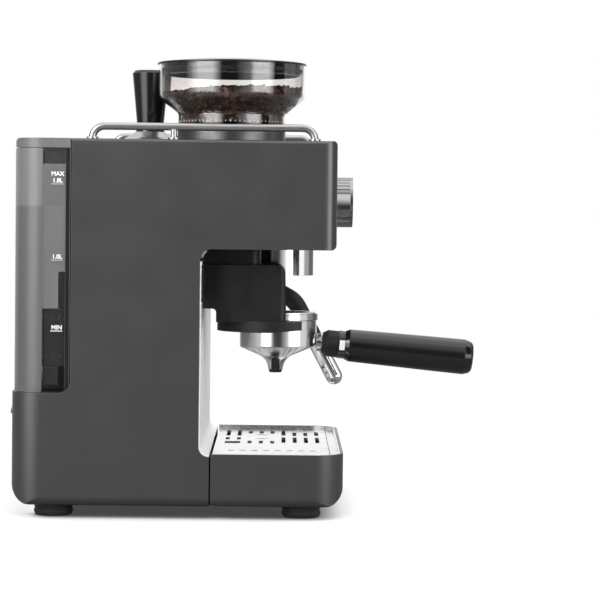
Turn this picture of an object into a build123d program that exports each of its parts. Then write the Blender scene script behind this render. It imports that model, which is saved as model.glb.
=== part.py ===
from build123d import *
import math
import os

# Espresso machine with a built-in burr coffee grinder. Millimetres, +Z up, the front faces -Y and the grinder
# is on the user's left (-X). The drawing below is laid out about the centre of the footprint at floor level.
# On writing, everything moves along Y by SHIFT_Y, so that the origin is the middle of the whole machine.

# ---- driving dimensions: housing ----
WIDTH = 285.0
HALF_W = WIDTH / 2
TOP_Z = 331.0
BASE_Z = 11.0
BACK_Y = 144.0
BASE_BACK_Y = 145.8
REAR_COVER_Y = 124.0
HEAD_FRONT_Y = -137.7
HEAD_UNDER_Z = 236.0
COLUMN_FRONT_Y = -19.0
TRAY_SEAM_Y = -28.3
TRAY_TOP_Z = 55.0
TRAY_FRONT_Y = -146.0
SKIRT_TOP_Z = 57.4
GRATE_TOP_Z = 53.6
PAN_TOP_Z = 51.1
RIM_SEAM_Y = -134.65
UPSTAND = 1.2
TANK_FRONT_Y = 93.0
HEAD_CORNER_R = 11.0
REAR_CORNER_R = 26.0
TRAY_CORNER_R = 26.0
TANK_BASE_Z = 109.5
TANK_TOP_Z = 322.2
SPIGOT_Y = 112.0
LID_HINGE_Y = BACK_Y - 3.0
LID_HINGE_Z = TANK_TOP_Z + 3.0
LID_EAR_X = 40.0
WALL = 2.5
GAP = 0.4
SEAM = 0.3
PANEL_SPLIT_X = 130.0
SHEET_X = 128.0
SHELF_Z = HEAD_UNDER_Z + WALL + 0.2
SHELF_FRONT_Y = -128.0

# ---- driving dimensions: grinder ----
GRIND_X = -66.0
GRIND_Y = -43.5
HOPPER_R = 66.0
HOPPER_TOP_Z = 399.5
NECK_R = 48.0
SLEEVE_R = 33.0
BURR_HOUSING_R = 37.0
BURR_SEAT_R = 30.0
BURR_LOW_Z = 306.0
THROAT_R = 44.0
RING_GROOVES = 24
CONE_GROOVES = 10
BEARING_R = 11.0
LEG_R = 4.0
CHUTE_HALF = 12.0
CHUTE_END_Y = -62.5
CHUTE_TOP_Z = 312.0
CHUTE_LOW_Z = 222.2
SHAFT_R = 5.0
RUNNING = 0.05
GEAR_MODULE = 1.0
MAIN_TEETH = 53
IDLER_SMALL_TEETH = 14
IDLER_LARGE_TEETH = 36
PINION_TEETH = 12
GEAR_PLATE_Z = 258.0
LOW_GEARS_Z = 264.0
HIGH_GEARS_Z = 273.0
GEAR_FACE = 7.0
IDLER_Y = GRIND_Y + GEAR_MODULE * (MAIN_TEETH + IDLER_SMALL_TEETH) / 2
MOTOR_Y = IDLER_Y + GEAR_MODULE * (IDLER_LARGE_TEETH + PINION_TEETH) / 2
MOTOR_R = 22.0
IDLER_PIN_R = 3.0

# ---- driving dimensions: brewing side ----
PF_Y = -87.5
PF_R = 34.5
PF_RIM_R = 37.4
FORK_TOP_Z = 172.2
FORK_THICKNESS = 9.9
CRADLE_HALF = 42.0
CRADLE_FRONT_Y = -94.5
CRADLE_TOP_Z = 222.0
RIM_TOP_Z = 178.0
RIM_ROOM_Z = 182.5
PLUNGER_Z = 177.5
PLUNGER_R = 3.0
SPOUT_Y = PF_Y + 2.2
SPOUT_LOW_Z = 127.4
SLOT_R = 3.7
SLOT_ARCH_Z = 135.2
NECK_BAR_R = 5.5
STUD_R = 4.5
COLLAR_FACETS = 10
HANDLE_TILT = 5.1
HANDLE_START_Z = 152.2
GROUP_X = 35.0
GROUP_Y = -85.0
GROUP_R = 35.4
GROUP_NECK_R = 32.0
GROUP_LOW_Z = 209.9
GROUP_TOP_Z = 246.0
GASKET_LOW_Z = 220.0
GASKET_HIGH_Z = 226.0
BOILER_TOP_Z = 282.0
PUMP_X = (10.0, 95.0)
PUMP_Y = 35.0
PUMP_Z = 70.0
PUMP_R = 17.0
OUTLET_X = 104.0
VALVE_X = 112.0
VALVE_Y = 13.0
VALVE_Z = 213.0
BOARD_Y = 78.0
WAND_X = 105.0
WAND_Y = -60.0
WAND_BALL_Z = 227.0
SOCKET_R = 12.0

# ---- driving dimensions: top, front and rear ----
TAMPER_X = -26.0
TAMPER_Y = 31.8
TAMPER_R = 29.0
TAMPER_LOW_Z = 316.0
TAMPER_JOINT_Z = 341.0
TAMPER_TOP_Z = 396.9
RAIL_X = 135.0
RAIL_R = 3.3
RAIL_TOP_Z = 341.9
RAIL_FRONT_Y = -117.6
RAIL_MIDDLE_Y = 5.0
RAIL_BACK_Y = 75.6
DIAL_X = 62.0
DIAL_Z = 279.0
DIAL_R = 23.8
DIAL_FRONT_Y = -156.9
DIAL_FLUTES = 36
KNOB_R = 12.5
KNOB_Z = 273.6
BUTTON_XS = {"power_button": -15.0, "brew_button": 12.0}
FOOT_X = 112.0
FOOT_Y = 109.4
FOOT_R = 17.5
SCREW_X = 110.0
SCREW_Z = 92.0
SCREW_R = 1.8
LEAD_X = 95.0
LEAD_Z = 42.0
LEAD_R = 3.6
GLAND_R = 8.0
VENT_X = (-60.0, 20.0)
VENT_Z = 48.0
VENT_ROWS = 6
VENT_PITCH = 7.0
VENT_HEIGHT = 2.6

# ---- driving dimensions: drip grate, in rows along X that follow each other from the back to the front ----
GRATE_ROW_Y = -40.5
GRATE_PITCH = 10.6
SLOT_HALF = 1.9
GRATE_SLOTS = [
    ((0, 1), ((32, 54), (70, 124))),
    ((2, 3, 4), ((-3.5, 22), (93, 119))),
    ((5,), ((5, 57), (75, 130))),
    ((6, 7), ((5, 57), (72, 105))),
    ((8,), ((5, 57), (75, 113))),
]
FLOAT_X = -116.0
FLOAT_Y = -60.0
FLOAT_R = 5.0
FLOAT_PIN_R = 2.0


# ---- drawing helpers ----
def block(x0, x1, y0, y1, z0, z1):
    """A box from its lowest to its highest corner."""
    return Pos((x0 + x1) / 2, (y0 + y1) / 2, (z0 + z1) / 2) * Box(x1 - x0, y1 - y0, z1 - z0)


def side_prism(corners, x0, x1):
    """An outline of (y, z, corner radius) in side view, carried from x0 to x1."""
    path = FilletPolyline(*[(y, z) for y, z, r in corners], radius=[r for y, z, r in corners], close=True)
    return Pos(x0, 0, 0) * extrude(Plane.YZ * make_face(path), x1 - x0)


def plan_prism(corners, z0, z1):
    """An outline of (x, y, corner radius) seen from above, carried from z0 to z1."""
    path = FilletPolyline(*[(x, y) for x, y, r in corners], radius=[r for x, y, r in corners], close=True)
    return Pos(0, 0, z0) * extrude(make_face(path), z1 - z0)


def post(x, y, z0, z1, r):
    """An upright cylinder."""
    return Pos(x, y, (z0 + z1) / 2) * Cylinder(r, z1 - z0)


def ring(x, y, z0, z1, r_out, r_in):
    """An upright cylinder with a bore."""
    return post(x, y, z0, z1, r_out) - post(x, y, z0 - 1, z1 + 1, r_in)


def bar_y(x, z, y0, y1, r):
    """A cylinder lying along Y."""
    return Pos(x, (y0 + y1) / 2, z) * Rot(90, 0, 0) * Cylinder(r, y1 - y0)


def bar_x(y, z, x0, x1, r):
    """A cylinder lying along X."""
    return Pos((x0 + x1) / 2, y, z) * Rot(0, 90, 0) * Cylinder(r, x1 - x0)


def turned(x, y, corners):
    """An outline of (radius, z, corner radius) turned about the upright line at x, y."""
    path = FilletPolyline(*[(r, z) for r, z, f in corners], radius=[f for r, z, f in corners], close=True)
    return Pos(x, y, 0) * revolve(Plane.XZ * make_face(path), Axis.Z)


def turned_y(corners):
    """An outline of (radius, distance along +Y, corner radius) turned about the Y axis."""
    path = FilletPolyline(*[(r, y) for r, y, f in corners], radius=[f for r, y, f in corners], close=True)
    return revolve(make_face(path), Axis.Y)


def pipe(points, radii, r):
    """A round bar along straight runs joined by arcs."""
    path = FilletPolyline(*points, radius=radii)
    return sweep(Plane(origin=path @ 0, z_dir=path % 0) * Circle(r), path=path)


def group_of(shapes):
    """Separate solids kept together as one node."""
    solids = []
    for shape in shapes:
        solids.extend(shape.solids())
    return Compound(children=solids)


# ---- housing ----
def housing_solid(inset):
    """The machine's C-shaped side view with its rounded corners, pulled in by an inset."""
    i = inset
    side = side_prism(
        [
            (TRAY_SEAM_Y + i, BASE_Z + i, 0),
            (BASE_BACK_Y - i, BASE_Z + i, 20 - i),
            (BASE_BACK_Y - i, TANK_BASE_Z - i, 0),
            (TANK_FRONT_Y - i, TANK_BASE_Z - i, 10),
            (TANK_FRONT_Y - i, TOP_Z - i, 0),
            (HEAD_FRONT_Y + i, TOP_Z - i, 4 - i),
            (HEAD_FRONT_Y + i, HEAD_UNDER_Z + i, 5 - i),
            (COLUMN_FRONT_Y + i, HEAD_UNDER_Z + i, 10 + i),
            (COLUMN_FRONT_Y + i, TRAY_TOP_Z - i, 9 - i),
            (TRAY_SEAM_Y + i, TRAY_TOP_Z - i, 0),
        ],
        -HALF_W + i,
        HALF_W - i,
    )
    plan = plan_prism(
        [
            (-HALF_W + i, HEAD_FRONT_Y + i, HEAD_CORNER_R - i),
            (HALF_W - i, HEAD_FRONT_Y + i, HEAD_CORNER_R - i),
            (HALF_W - i, BASE_BACK_Y - i, REAR_CORNER_R - i),
            (-HALF_W + i, BASE_BACK_Y - i, REAR_CORNER_R - i),
        ],
        0,
        TOP_Z,
    )
    return side & plan & end_view_solid(i)


def end_view_solid(inset):
    """The rounded bottom and top edges of the two sides, seen from the front."""
    i = inset
    top_radius = max(3 - i, 0.2)
    path = FilletPolyline(
        (-HALF_W + i, BASE_Z + i),
        (HALF_W - i, BASE_Z + i),
        (HALF_W - i, TOP_Z - i),
        (-HALF_W + i, TOP_Z - i),
        radius=[8 - i, 8 - i, top_radius, top_radius],
        close=True,
    )
    face = Plane(origin=(0, BACK_Y + 10, 0), x_dir=(1, 0, 0), z_dir=(0, -1, 0)) * make_face(path)
    return extrude(face, 2 * BACK_Y + 40)


def housing_shell():
    """The outer skin that the panels are cut from."""
    return housing_solid(0) - housing_solid(WALL)


def side_panel(shell, sign):
    """One side of the housing, with the rounded corners that turn onto the front, top and back."""
    x0, x1 = sorted((sign * PANEL_SPLIT_X, sign * (HALF_W + 1)))
    return shell & block(x0, x1, -200, 200, 0, 400)


def between_panels(shell, y0, y1, z0, z1):
    """A stretch of the skin between the two side panels."""
    edge = PANEL_SPLIT_X - SEAM
    return shell & block(-edge, edge, y0, y1, z0, z1)


def head_front_panel(shell):
    panel = between_panels(shell, -200, HEAD_FRONT_Y + 8, HEAD_UNDER_Z - 1, TOP_Z + 1)
    panel -= bar_y(DIAL_X, DIAL_Z, -150, -120, 6.2)
    panel -= bar_y(GRIND_X, KNOB_Z, -150, -120, 5.2)
    for x in BUTTON_XS.values():
        panel -= bar_y(x, DIAL_Z, -150, -120, 7.3)
    return panel


def top_cover(shell):
    cover = between_panels(shell, HEAD_FRONT_Y + 8 + SEAM, TANK_FRONT_Y + 1, TOP_Z - WALL - 0.1, TOP_Z + 1)
    cover += post(TAMPER_X, TAMPER_Y, TAMPER_LOW_Z - 3, TOP_Z, TAMPER_R + 2.4)
    cover -= post(TAMPER_X, TAMPER_Y, TAMPER_LOW_Z - 1, TOP_Z + 1, TAMPER_R + GAP)
    return cover - post(GRIND_X, GRIND_Y, 300, 340, SLEEVE_R + GAP)


def head_underside(shell):
    under = between_panels(shell, HEAD_FRONT_Y + 8 + SEAM, -32, HEAD_UNDER_Z - 1, HEAD_UNDER_Z + WALL)
    under -= post(GROUP_X, GROUP_Y, 200, 260, GROUP_R + SEAM)
    under -= post(WAND_X, WAND_Y, 200, 260, SOCKET_R + 0.3)
    return under - chute_opening(SEAM)


def splash_wall():
    """Thin polished steel sheet in front of the column, curving forward at its foot to meet the tray."""
    thick = 1.2
    edge = HALF_W - 0.6
    front = COLUMN_FRONT_Y - thick
    return side_prism(
        [
            (TRAY_SEAM_Y + 0.15, TRAY_TOP_Z + 0.05, 0),
            (COLUMN_FRONT_Y - 0.05, TRAY_TOP_Z + 0.05, 8.95),
            (COLUMN_FRONT_Y - 0.05, HEAD_UNDER_Z - 10.6, 0),
            (front, HEAD_UNDER_Z - 10.6, 0),
            (front, TRAY_TOP_Z + thick, 7.75),
            (TRAY_SEAM_Y + 0.15, TRAY_TOP_Z + thick, 0),
        ],
        -edge,
        edge,
    )


def rear_cover(shell):
    cover = between_panels(shell, REAR_COVER_Y, BASE_BACK_Y + 1, BASE_Z + 3.4, TANK_BASE_Z + 1)
    for row in range(VENT_ROWS):
        z = VENT_Z + VENT_PITCH * row
        cover -= block(*VENT_X, BASE_BACK_Y - 5, BASE_BACK_Y + 1, z, z + VENT_HEIGHT)
    cover -= bar_y(LEAD_X, LEAD_Z, BASE_BACK_Y - 6, BASE_BACK_Y + 2, GLAND_R)
    for x in (-SCREW_X, SCREW_X):
        cover -= bar_y(x, SCREW_Z, BASE_BACK_Y - 6, BASE_BACK_Y + 2, SCREW_R)
    return cover


def tank_dock(shell):
    """The wall in front of the water tank and the shelf that the tank stands on."""
    shelf_low = TANK_BASE_Z - WALL - 10.1
    dock = between_panels(shell, TANK_FRONT_Y - WALL - 0.1, REAR_COVER_Y - SEAM, shelf_low, TOP_Z + 1)
    dock -= block(-200, 200, 0, TANK_FRONT_Y + 0.5, TOP_Z - WALL - SEAM, TOP_Z + 1)
    dock += post(0, SPIGOT_Y, 94, TANK_BASE_Z - WALL + 0.1, 12)
    dock -= post(0, SPIGOT_Y, 97, 115, 9.3)
    return dock + post(0, SPIGOT_Y, 96, TANK_BASE_Z - 4.1, 2)


def base_pan():
    """Floor of the machine, with a tongue that runs forward under the drip tray to the front feet."""
    edge = PANEL_SPLIT_X - SEAM
    floor = block(-edge, edge, TRAY_SEAM_Y + 3, 117, BASE_Z, BASE_Z + 3)
    return floor + block(-122, 122, -126, TRAY_SEAM_Y + 3, BASE_Z - 0.5, BASE_Z + 2)


def feet():
    """Four turned rubber feet with a waist; the rear pair reach up to the higher floor plate."""
    shapes = []
    for y, height in ((-FOOT_Y, BASE_Z - 0.5), (FOOT_Y, BASE_Z)):
        profile = [
            (0, 0, 0),
            (FOOT_R - 1.5, 0, 1.2),
            (FOOT_R, 4, 1),
            (FOOT_R - 1, 6, 0.8),
            (FOOT_R, height, 0),
            (0, height, 0),
        ]
        for x in (-FOOT_X, FOOT_X):
            shapes.append(turned(x, y, profile))
    return group_of(shapes)


def inner_frame():
    """Bent steel sheet: a shelf over the head's underside, an upright sheet behind the splash wall, and on four
    posts the plate that carries the grinder's motor, the idler's pin and the legs of the burr housing."""
    sheet = 2.0
    front_y = COLUMN_FRONT_Y + WALL + 0.2
    shelf = block(-SHEET_X, SHEET_X, SHELF_FRONT_Y, front_y + sheet, SHELF_Z, SHELF_Z + sheet)
    shelf -= post(GROUP_X, GROUP_Y, 230, 250, GROUP_NECK_R + 0.2)
    shelf -= post(WAND_X, WAND_Y, 230, 250, SOCKET_R + 0.3)
    frame = shelf + block(-SHEET_X, SHEET_X, front_y, front_y + sheet, 66, SHELF_Z + sheet)
    for x, y in housing_legs():
        frame += post(x, y, SHELF_Z + 1, GEAR_PLATE_Z + 1, LEG_R)
    plate = block(GRIND_X - 39, GRIND_X + 39, -72, 40, GEAR_PLATE_Z, GEAR_PLATE_Z + 3)
    plate -= post(GRIND_X, MOTOR_Y, 250, 270, 4)
    frame += plate + post(GRIND_X, IDLER_Y, GEAR_PLATE_Z + 1, 284, IDLER_PIN_R)
    return frame - chute_opening(SEAM)


def cup_rails():
    """Two bent tubes along the sides of the warming top, each with two end legs and a middle leg."""
    shapes = []
    for x in (-RAIL_X, RAIL_X):
        path = [
            (x, RAIL_BACK_Y, TOP_Z),
            (x, RAIL_BACK_Y, RAIL_TOP_Z),
            (x, RAIL_FRONT_Y, RAIL_TOP_Z),
            (x, RAIL_FRONT_Y, TOP_Z),
        ]
        rail = pipe(path, [10.5, 10.5], RAIL_R)
        rail += post(x, RAIL_MIDDLE_Y, TOP_Z, RAIL_TOP_Z, RAIL_R - 0.6)
        for y in (RAIL_BACK_Y, RAIL_MIDDLE_Y, RAIL_FRONT_Y):
            rail += post(x, y, TOP_Z, TOP_Z + 1.5, RAIL_R + 1.9)
        shapes.append(rail)
    return group_of(shapes)


def cable_gland():
    """Strain-relief socket at the back where a mains lead enters."""
    gland = bar_y(LEAD_X, LEAD_Z, BASE_BACK_Y - 4, BASE_BACK_Y, GLAND_R)
    gland += bar_y(LEAD_X, LEAD_Z, BASE_BACK_Y, BASE_BACK_Y + 1.6, GLAND_R + 2)
    gland += bar_y(LEAD_X, LEAD_Z, BASE_BACK_Y - 12, BASE_BACK_Y - 4, GLAND_R - 1.5)
    return gland - bar_y(LEAD_X, LEAD_Z, BASE_BACK_Y - 20, BASE_BACK_Y + 10, LEAD_R)


def case_screws():
    """Two pan-head screws with crossed slots that hold the rear cover."""
    head_r = 3.4
    slot_y = (BASE_BACK_Y + 0.8, BASE_BACK_Y + 2)
    shapes = []
    for x in (-SCREW_X, SCREW_X):
        screw = bar_y(x, SCREW_Z, BASE_BACK_Y, BASE_BACK_Y + 1.8, head_r)
        screw += bar_y(x, SCREW_Z, BASE_BACK_Y - 10, BASE_BACK_Y, SCREW_R)
        screw -= block(x - 2.2, x + 2.2, *slot_y, SCREW_Z - 0.4, SCREW_Z + 0.4)
        screw -= block(x - 0.4, x + 0.4, *slot_y, SCREW_Z - 2.2, SCREW_Z + 2.2)
        shapes.append(screw)
    return group_of(shapes)


# ---- water tank ----
def tank_block(inset, z0, z1):
    """The tank's outer form: rounded rear corners in plan and a rounded lower front edge."""
    i = inset
    side = side_prism(
        [
            (TANK_FRONT_Y + GAP + i, z0, 9.6 - i),
            (BACK_Y - i, z0, 3 - i / 2),
            (BACK_Y - i, z1, 0),
            (TANK_FRONT_Y + GAP + i, z1, 0),
        ],
        -HALF_W,
        HALF_W,
    )
    plan = plan_prism(
        [
            (-HALF_W + i, TANK_FRONT_Y + i, 2),
            (HALF_W - i, TANK_FRONT_Y + i, 2),
            (HALF_W - i, BACK_Y - i, REAR_CORNER_R - i),
            (-HALF_W + i, BACK_Y - i, REAR_CORNER_R - i),
        ],
        z0,
        z1,
    )
    return side & plan


def water_tank():
    tank = tank_block(0, TANK_BASE_Z + GAP, TANK_TOP_Z)
    tank -= tank_block(2.6, TANK_BASE_Z + 4, TANK_TOP_Z + 5)
    tank += ring(0, SPIGOT_Y, TANK_BASE_Z - 5, TANK_BASE_Z + 6, 8.8, 5)
    tank -= post(0, SPIGOT_Y, 100, TANK_BASE_Z + 7, 5)
    for x in (-LID_EAR_X, LID_EAR_X):
        ear = block(x - 5, x + 5, LID_HINGE_Y - 2.4, LID_HINGE_Y + 2.4, TANK_TOP_Z - 6, LID_HINGE_Z)
        ear += bar_x(LID_HINGE_Y, LID_HINGE_Z, x - 5, x + 5, 2.4)
        tank += ear - bar_x(LID_HINGE_Y, LID_HINGE_Z, x - 6, x + 6, 1.3)
    return tank


def tank_lid():
    """Flat lid with a finger recess, turning on two pins at its back edge."""
    z0 = TANK_TOP_Z + GAP
    plan = plan_prism(
        [
            (-HALF_W, TANK_FRONT_Y + GAP, 2),
            (HALF_W, TANK_FRONT_Y + GAP, 2),
            (HALF_W, BACK_Y, REAR_CORNER_R),
            (-HALF_W, BACK_Y, REAR_CORNER_R),
        ],
        z0,
        TOP_Z,
    )
    lid = plan & side_prism(
        [
            (TANK_FRONT_Y + GAP, z0, 0),
            (BACK_Y, z0, 2.6),
            (BACK_Y, TOP_Z, 5.5),
            (TANK_FRONT_Y + GAP, TOP_Z, 0.8),
        ],
        -HALF_W,
        HALF_W,
    )
    lid -= block(-24, 24, TANK_FRONT_Y, TANK_FRONT_Y + 12, TOP_Z - 3, TOP_Z + 1)
    for x in (-LID_EAR_X, LID_EAR_X):
        lid -= block(x - 5.4, x + 5.4, LID_HINGE_Y - 3, BACK_Y + 1, z0 - 1, TOP_Z + 1)
        lid += bar_x(LID_HINGE_Y, LID_HINGE_Z, x - 7, x + 7, 1.25)
    return lid


def tank_valve():
    """Spring plunger that shuts the tank's outlet when the tank is lifted off."""
    stem = post(0, SPIGOT_Y, TANK_BASE_Z - 4, TANK_BASE_Z + 12, 3.6)
    return stem + post(0, SPIGOT_Y, TANK_BASE_Z + 9, TANK_BASE_Z + 12, 8)


# ---- grinder ----
def gear(x, y, z0, height, teeth, bore, phase=0.0):
    """A straight spur gear with trapezoid teeth and a little backlash."""
    pitch_r = GEAR_MODULE * teeth / 2
    tip_r = pitch_r + 0.9 * GEAR_MODULE
    root_r = pitch_r - 1.2 * GEAR_MODULE
    step = 2 * math.pi / teeth
    half_pitch = step / 4 - 0.07 / pitch_r
    half_tip = half_pitch - 0.9 * GEAR_MODULE * math.tan(math.radians(21)) / pitch_r
    half_root = half_pitch + 1.0 * GEAR_MODULE * math.tan(math.radians(18)) / pitch_r
    points = []
    for tooth in range(teeth):
        middle = tooth * step + phase
        for r, angle in ((root_r, -half_root), (tip_r, -half_tip), (tip_r, half_tip), (root_r, half_root)):
            points.append((r * math.cos(middle + angle), r * math.sin(middle + angle)))
    body = extrude(make_face(Polyline(*points, close=True)), height)
    return Pos(x, y, z0) * (body - Pos(0, 0, height / 2) * Cylinder(bore, 2 * height))


def adjust_collar():
    """Turning collar: a cup that the hopper stands in and a sleeve that carries the ring burr."""
    return turned(
        GRIND_X,
        GRIND_Y,
        [
            (BURR_SEAT_R, BURR_LOW_Z, 0),
            (SLEEVE_R, BURR_LOW_Z, 0),
            (SLEEVE_R, 331.5, 0),
            (NECK_R + 0.5, 331.5, 0.6),
            (NECK_R + 0.5, 345, 0.6),
            (THROAT_R + 0.4, 345, 0),
            (THROAT_R + 0.4, 335, 0),
            (BURR_SEAT_R, 335, 0),
        ],
    )


def ring_burr():
    """Outer burr: a widening bore with slanted grooves."""
    low, high = BURR_LOW_Z, BURR_LOW_Z + 21
    outline = [(20.6, low, 0), (BURR_SEAT_R - 0.1, low, 0), (BURR_SEAT_R - 0.1, high, 0), (27.5, high, 0)]
    burr = turned(GRIND_X, GRIND_Y, outline + [(22.5, 314, 0)])
    groove = Pos(24.5, 0, 324) * Rot(0, -24, 0) * Box(3, 1.4, 18)
    for tooth in range(RING_GROOVES):
        burr -= Pos(GRIND_X, GRIND_Y, 0) * Rot(0, 0, 360 / RING_GROOVES * tooth) * groove
    return burr


def cone_burr():
    """Inner burr: a cone with slanted grooves on the shaft."""
    cone = turned(
        GRIND_X,
        GRIND_Y,
        [(SHAFT_R, 303, 0), (20, 303, 0), (20, 308, 0), (16.5, 316, 0), (9, 327, 0), (SHAFT_R, 327, 0)],
    )
    groove = Pos(15.5, 0, 321) * Rot(0, -30, 0) * Box(2.4, 1.8, 22)
    for tooth in range(CONE_GROOVES):
        cone -= Pos(GRIND_X, GRIND_Y, 0) * Rot(0, 0, 360 / CONE_GROOVES * tooth) * groove
    return cone


def housing_legs():
    """Where the four legs of the burr housing and the posts under them stand."""
    return [(GRIND_X + x, GRIND_Y + y) for x in (-34, 34) for y in (-20, 20)]


def burr_shaft():
    """Steel shaft with a two-armed sweeper under the burrs and a nut on top."""
    shaft = post(GRIND_X, GRIND_Y, 262.5, 330, SHAFT_R)
    shaft += post(GRIND_X, GRIND_Y, 327, 330, 8)
    sweeper = post(GRIND_X, GRIND_Y, 300.6, 302.9, 12)
    sweeper += block(GRIND_X - 31, GRIND_X + 31, GRIND_Y - 3, GRIND_Y + 3, 300.6, 302.9)
    return shaft + sweeper


def burr_bearings():
    """Two identical ball bearings in the floor of the burr housing."""
    return group_of([ring(GRIND_X, GRIND_Y, z, z + 6, BEARING_R, SHAFT_R + RUNNING) for z in (285, 293.5)])


def burr_housing():
    """Cast cup around the burrs, with a thick floor for the bearings and four legs to the gear plate."""
    floor_low, floor_high = 284, 300
    housing = post(GRIND_X, GRIND_Y, floor_low, 328.2, BURR_HOUSING_R)
    for x, y in housing_legs():
        housing += post(x, y, GEAR_PLATE_Z + 3, floor_high - 4, LEG_R)
        inner_x = GRIND_X + 0.8 * (x - GRIND_X)
        inner_y = GRIND_Y + 0.7 * (y - GRIND_Y)
        housing += block(*sorted((x, inner_x)), *sorted((y, inner_y)), floor_low + 1, floor_high - 4)
    housing -= post(GRIND_X, GRIND_Y, floor_low - 4, floor_high + 1, BEARING_R)
    housing -= post(GRIND_X, GRIND_Y, floor_high, 330, SLEEVE_R + RUNNING)
    return housing - block(GRIND_X - 9, GRIND_X + 9, GRIND_Y - 50, GRIND_Y - 20, floor_high, floor_high + 5.5)


def main_gear():
    return gear(GRIND_X, GRIND_Y, HIGH_GEARS_Z, GEAR_FACE, MAIN_TEETH, SHAFT_R, math.pi / 2)


def idler_gear():
    """Compound gear: the motor turns the large wheel and the small one turns the main gear."""
    bore = IDLER_PIN_R + RUNNING
    space_down = -math.pi / 2 + math.pi / IDLER_SMALL_TEETH
    small = gear(GRIND_X, IDLER_Y, HIGH_GEARS_Z, GEAR_FACE, IDLER_SMALL_TEETH, bore, space_down)
    large = gear(GRIND_X, IDLER_Y, LOW_GEARS_Z, GEAR_FACE, IDLER_LARGE_TEETH, bore, math.pi / 2)
    hub = ring(GRIND_X, IDLER_Y, GEAR_PLATE_Z + 3.2, HIGH_GEARS_Z + 1, 5, bore)
    return small + large + hub


def motor_pinion():
    space_down = -math.pi / 2 + math.pi / PINION_TEETH
    pinion = gear(GRIND_X, MOTOR_Y, LOW_GEARS_Z, GEAR_FACE, PINION_TEETH, 2, space_down)
    return pinion + post(GRIND_X, MOTOR_Y, 246, LOW_GEARS_Z + GEAR_FACE, 2.5)


def grinder_motor():
    can = turned(
        GRIND_X,
        MOTOR_Y,
        [(0, 186, 0), (MOTOR_R - 4, 186, 0), (MOTOR_R, 192, 2), (MOTOR_R, GEAR_PLATE_Z, 0), (0, GEAR_PLATE_Z, 0)],
    )
    can -= post(GRIND_X, MOTOR_Y, 245.5, GEAR_PLATE_Z + 1, 2.5 + RUNNING)
    return can + post(GRIND_X, MOTOR_Y, 180, 186.5, 6)


def chute_path(grow, top, bottom):
    """Side view of the grounds chute, which drops in front of the burr housing and slants back to the cradle."""
    front = GRIND_Y - BURR_HOUSING_R - 13.5
    back = GRIND_Y - BURR_HOUSING_R - 0.3
    return [
        (front - grow, top, 0),
        (front - grow, 266, 0),
        (CHUTE_END_Y - 6 - grow, 240.5, 0),
        (CHUTE_END_Y - 6 - grow, bottom, 0),
        (CHUTE_END_Y + 6 + grow, bottom, 0),
        (CHUTE_END_Y + 6 + grow, 247, 0),
        (back + grow, 272, 0),
        (back + grow, top, 0),
    ]


def chute_opening(play):
    """The hole that the chute needs where it passes a plate."""
    edge = CHUTE_HALF + play
    return side_prism(chute_path(play, CHUTE_TOP_Z, CHUTE_LOW_Z), GRIND_X - edge, GRIND_X + edge)


def grounds_chute():
    """Closed duct from the outlet of the burr housing down into the cradle."""
    wall = 1.6
    inner = CHUTE_HALF - wall
    outlet_y = GRIND_Y - BURR_HOUSING_R
    chute = side_prism(chute_path(0, CHUTE_TOP_Z, CHUTE_LOW_Z), GRIND_X - CHUTE_HALF, GRIND_X + CHUTE_HALF)
    nozzle = block(GRIND_X - 9.5, GRIND_X + 9.5, outlet_y - 1.5, outlet_y + 3, 299, 307)
    chute += nozzle - post(GRIND_X, GRIND_Y, 290, 320, BURR_HOUSING_R + 0.01)
    hollow = chute_path(-wall, CHUTE_TOP_Z - wall, CHUTE_LOW_Z - 3)
    chute -= side_prism(hollow, GRIND_X - inner, GRIND_X + inner)
    return chute - block(GRIND_X - 8, GRIND_X + 8, outlet_y - 6, outlet_y + 5, 300.5, 305)


def cradle_block():
    """The cradle above its fork: gently bowed side walls, a rounded front and a neck up to the head."""
    back = COLUMN_FRONT_Y - 1.5
    bow = CRADLE_HALF + 2.5
    plan = plan_prism(
        [
            (GRIND_X - CRADLE_HALF, back, 0),
            (GRIND_X - bow, -57, 120),
            (GRIND_X - CRADLE_HALF, CRADLE_FRONT_Y, 6),
            (GRIND_X + CRADLE_HALF, CRADLE_FRONT_Y, 6),
            (GRIND_X + bow, -57, 120),
            (GRIND_X + CRADLE_HALF, back, 0),
        ],
        150,
        HEAD_UNDER_Z,
    )
    side = side_prism(
        [
            (back, 183, 0),
            (back, CRADLE_TOP_Z, 0),
            (CRADLE_FRONT_Y + 1.3, CRADLE_TOP_Z, 8),
            (CRADLE_FRONT_Y, FORK_TOP_Z - 1, 0),
            (-32.4, FORK_TOP_Z - 1, 0),
            (-32.4, 183, 3.5),
        ],
        GRIND_X - bow,
        GRIND_X + bow,
    )
    neck = plan_prism(
        [
            (GRIND_X - 34, back, 0),
            (GRIND_X - 34, CHUTE_END_Y - 8.5, 8),
            (GRIND_X + 34, CHUTE_END_Y - 8.5, 8),
            (GRIND_X + 34, back, 0),
        ],
        CRADLE_TOP_Z - 1,
        HEAD_UNDER_Z - 0.05,
    )
    return (plan & side) + neck


def cradle_fork():
    """Round plate under the cradle that carries the portafilter's rim, thinner towards its two tips."""
    low = FORK_TOP_Z - FORK_THICKNESS
    tip_y = -108.3
    fork = post(GRIND_X, PF_Y + 5.1, low, FORK_TOP_Z, 50)
    fork &= block(-200, 0, tip_y, 0, 100, 300)
    return fork - side_prism([(-79, low, 0), (tip_y, low + 2.3, 0), (tip_y, low - 1, 0), (-79, low - 1, 0)], -200, 0)


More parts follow.
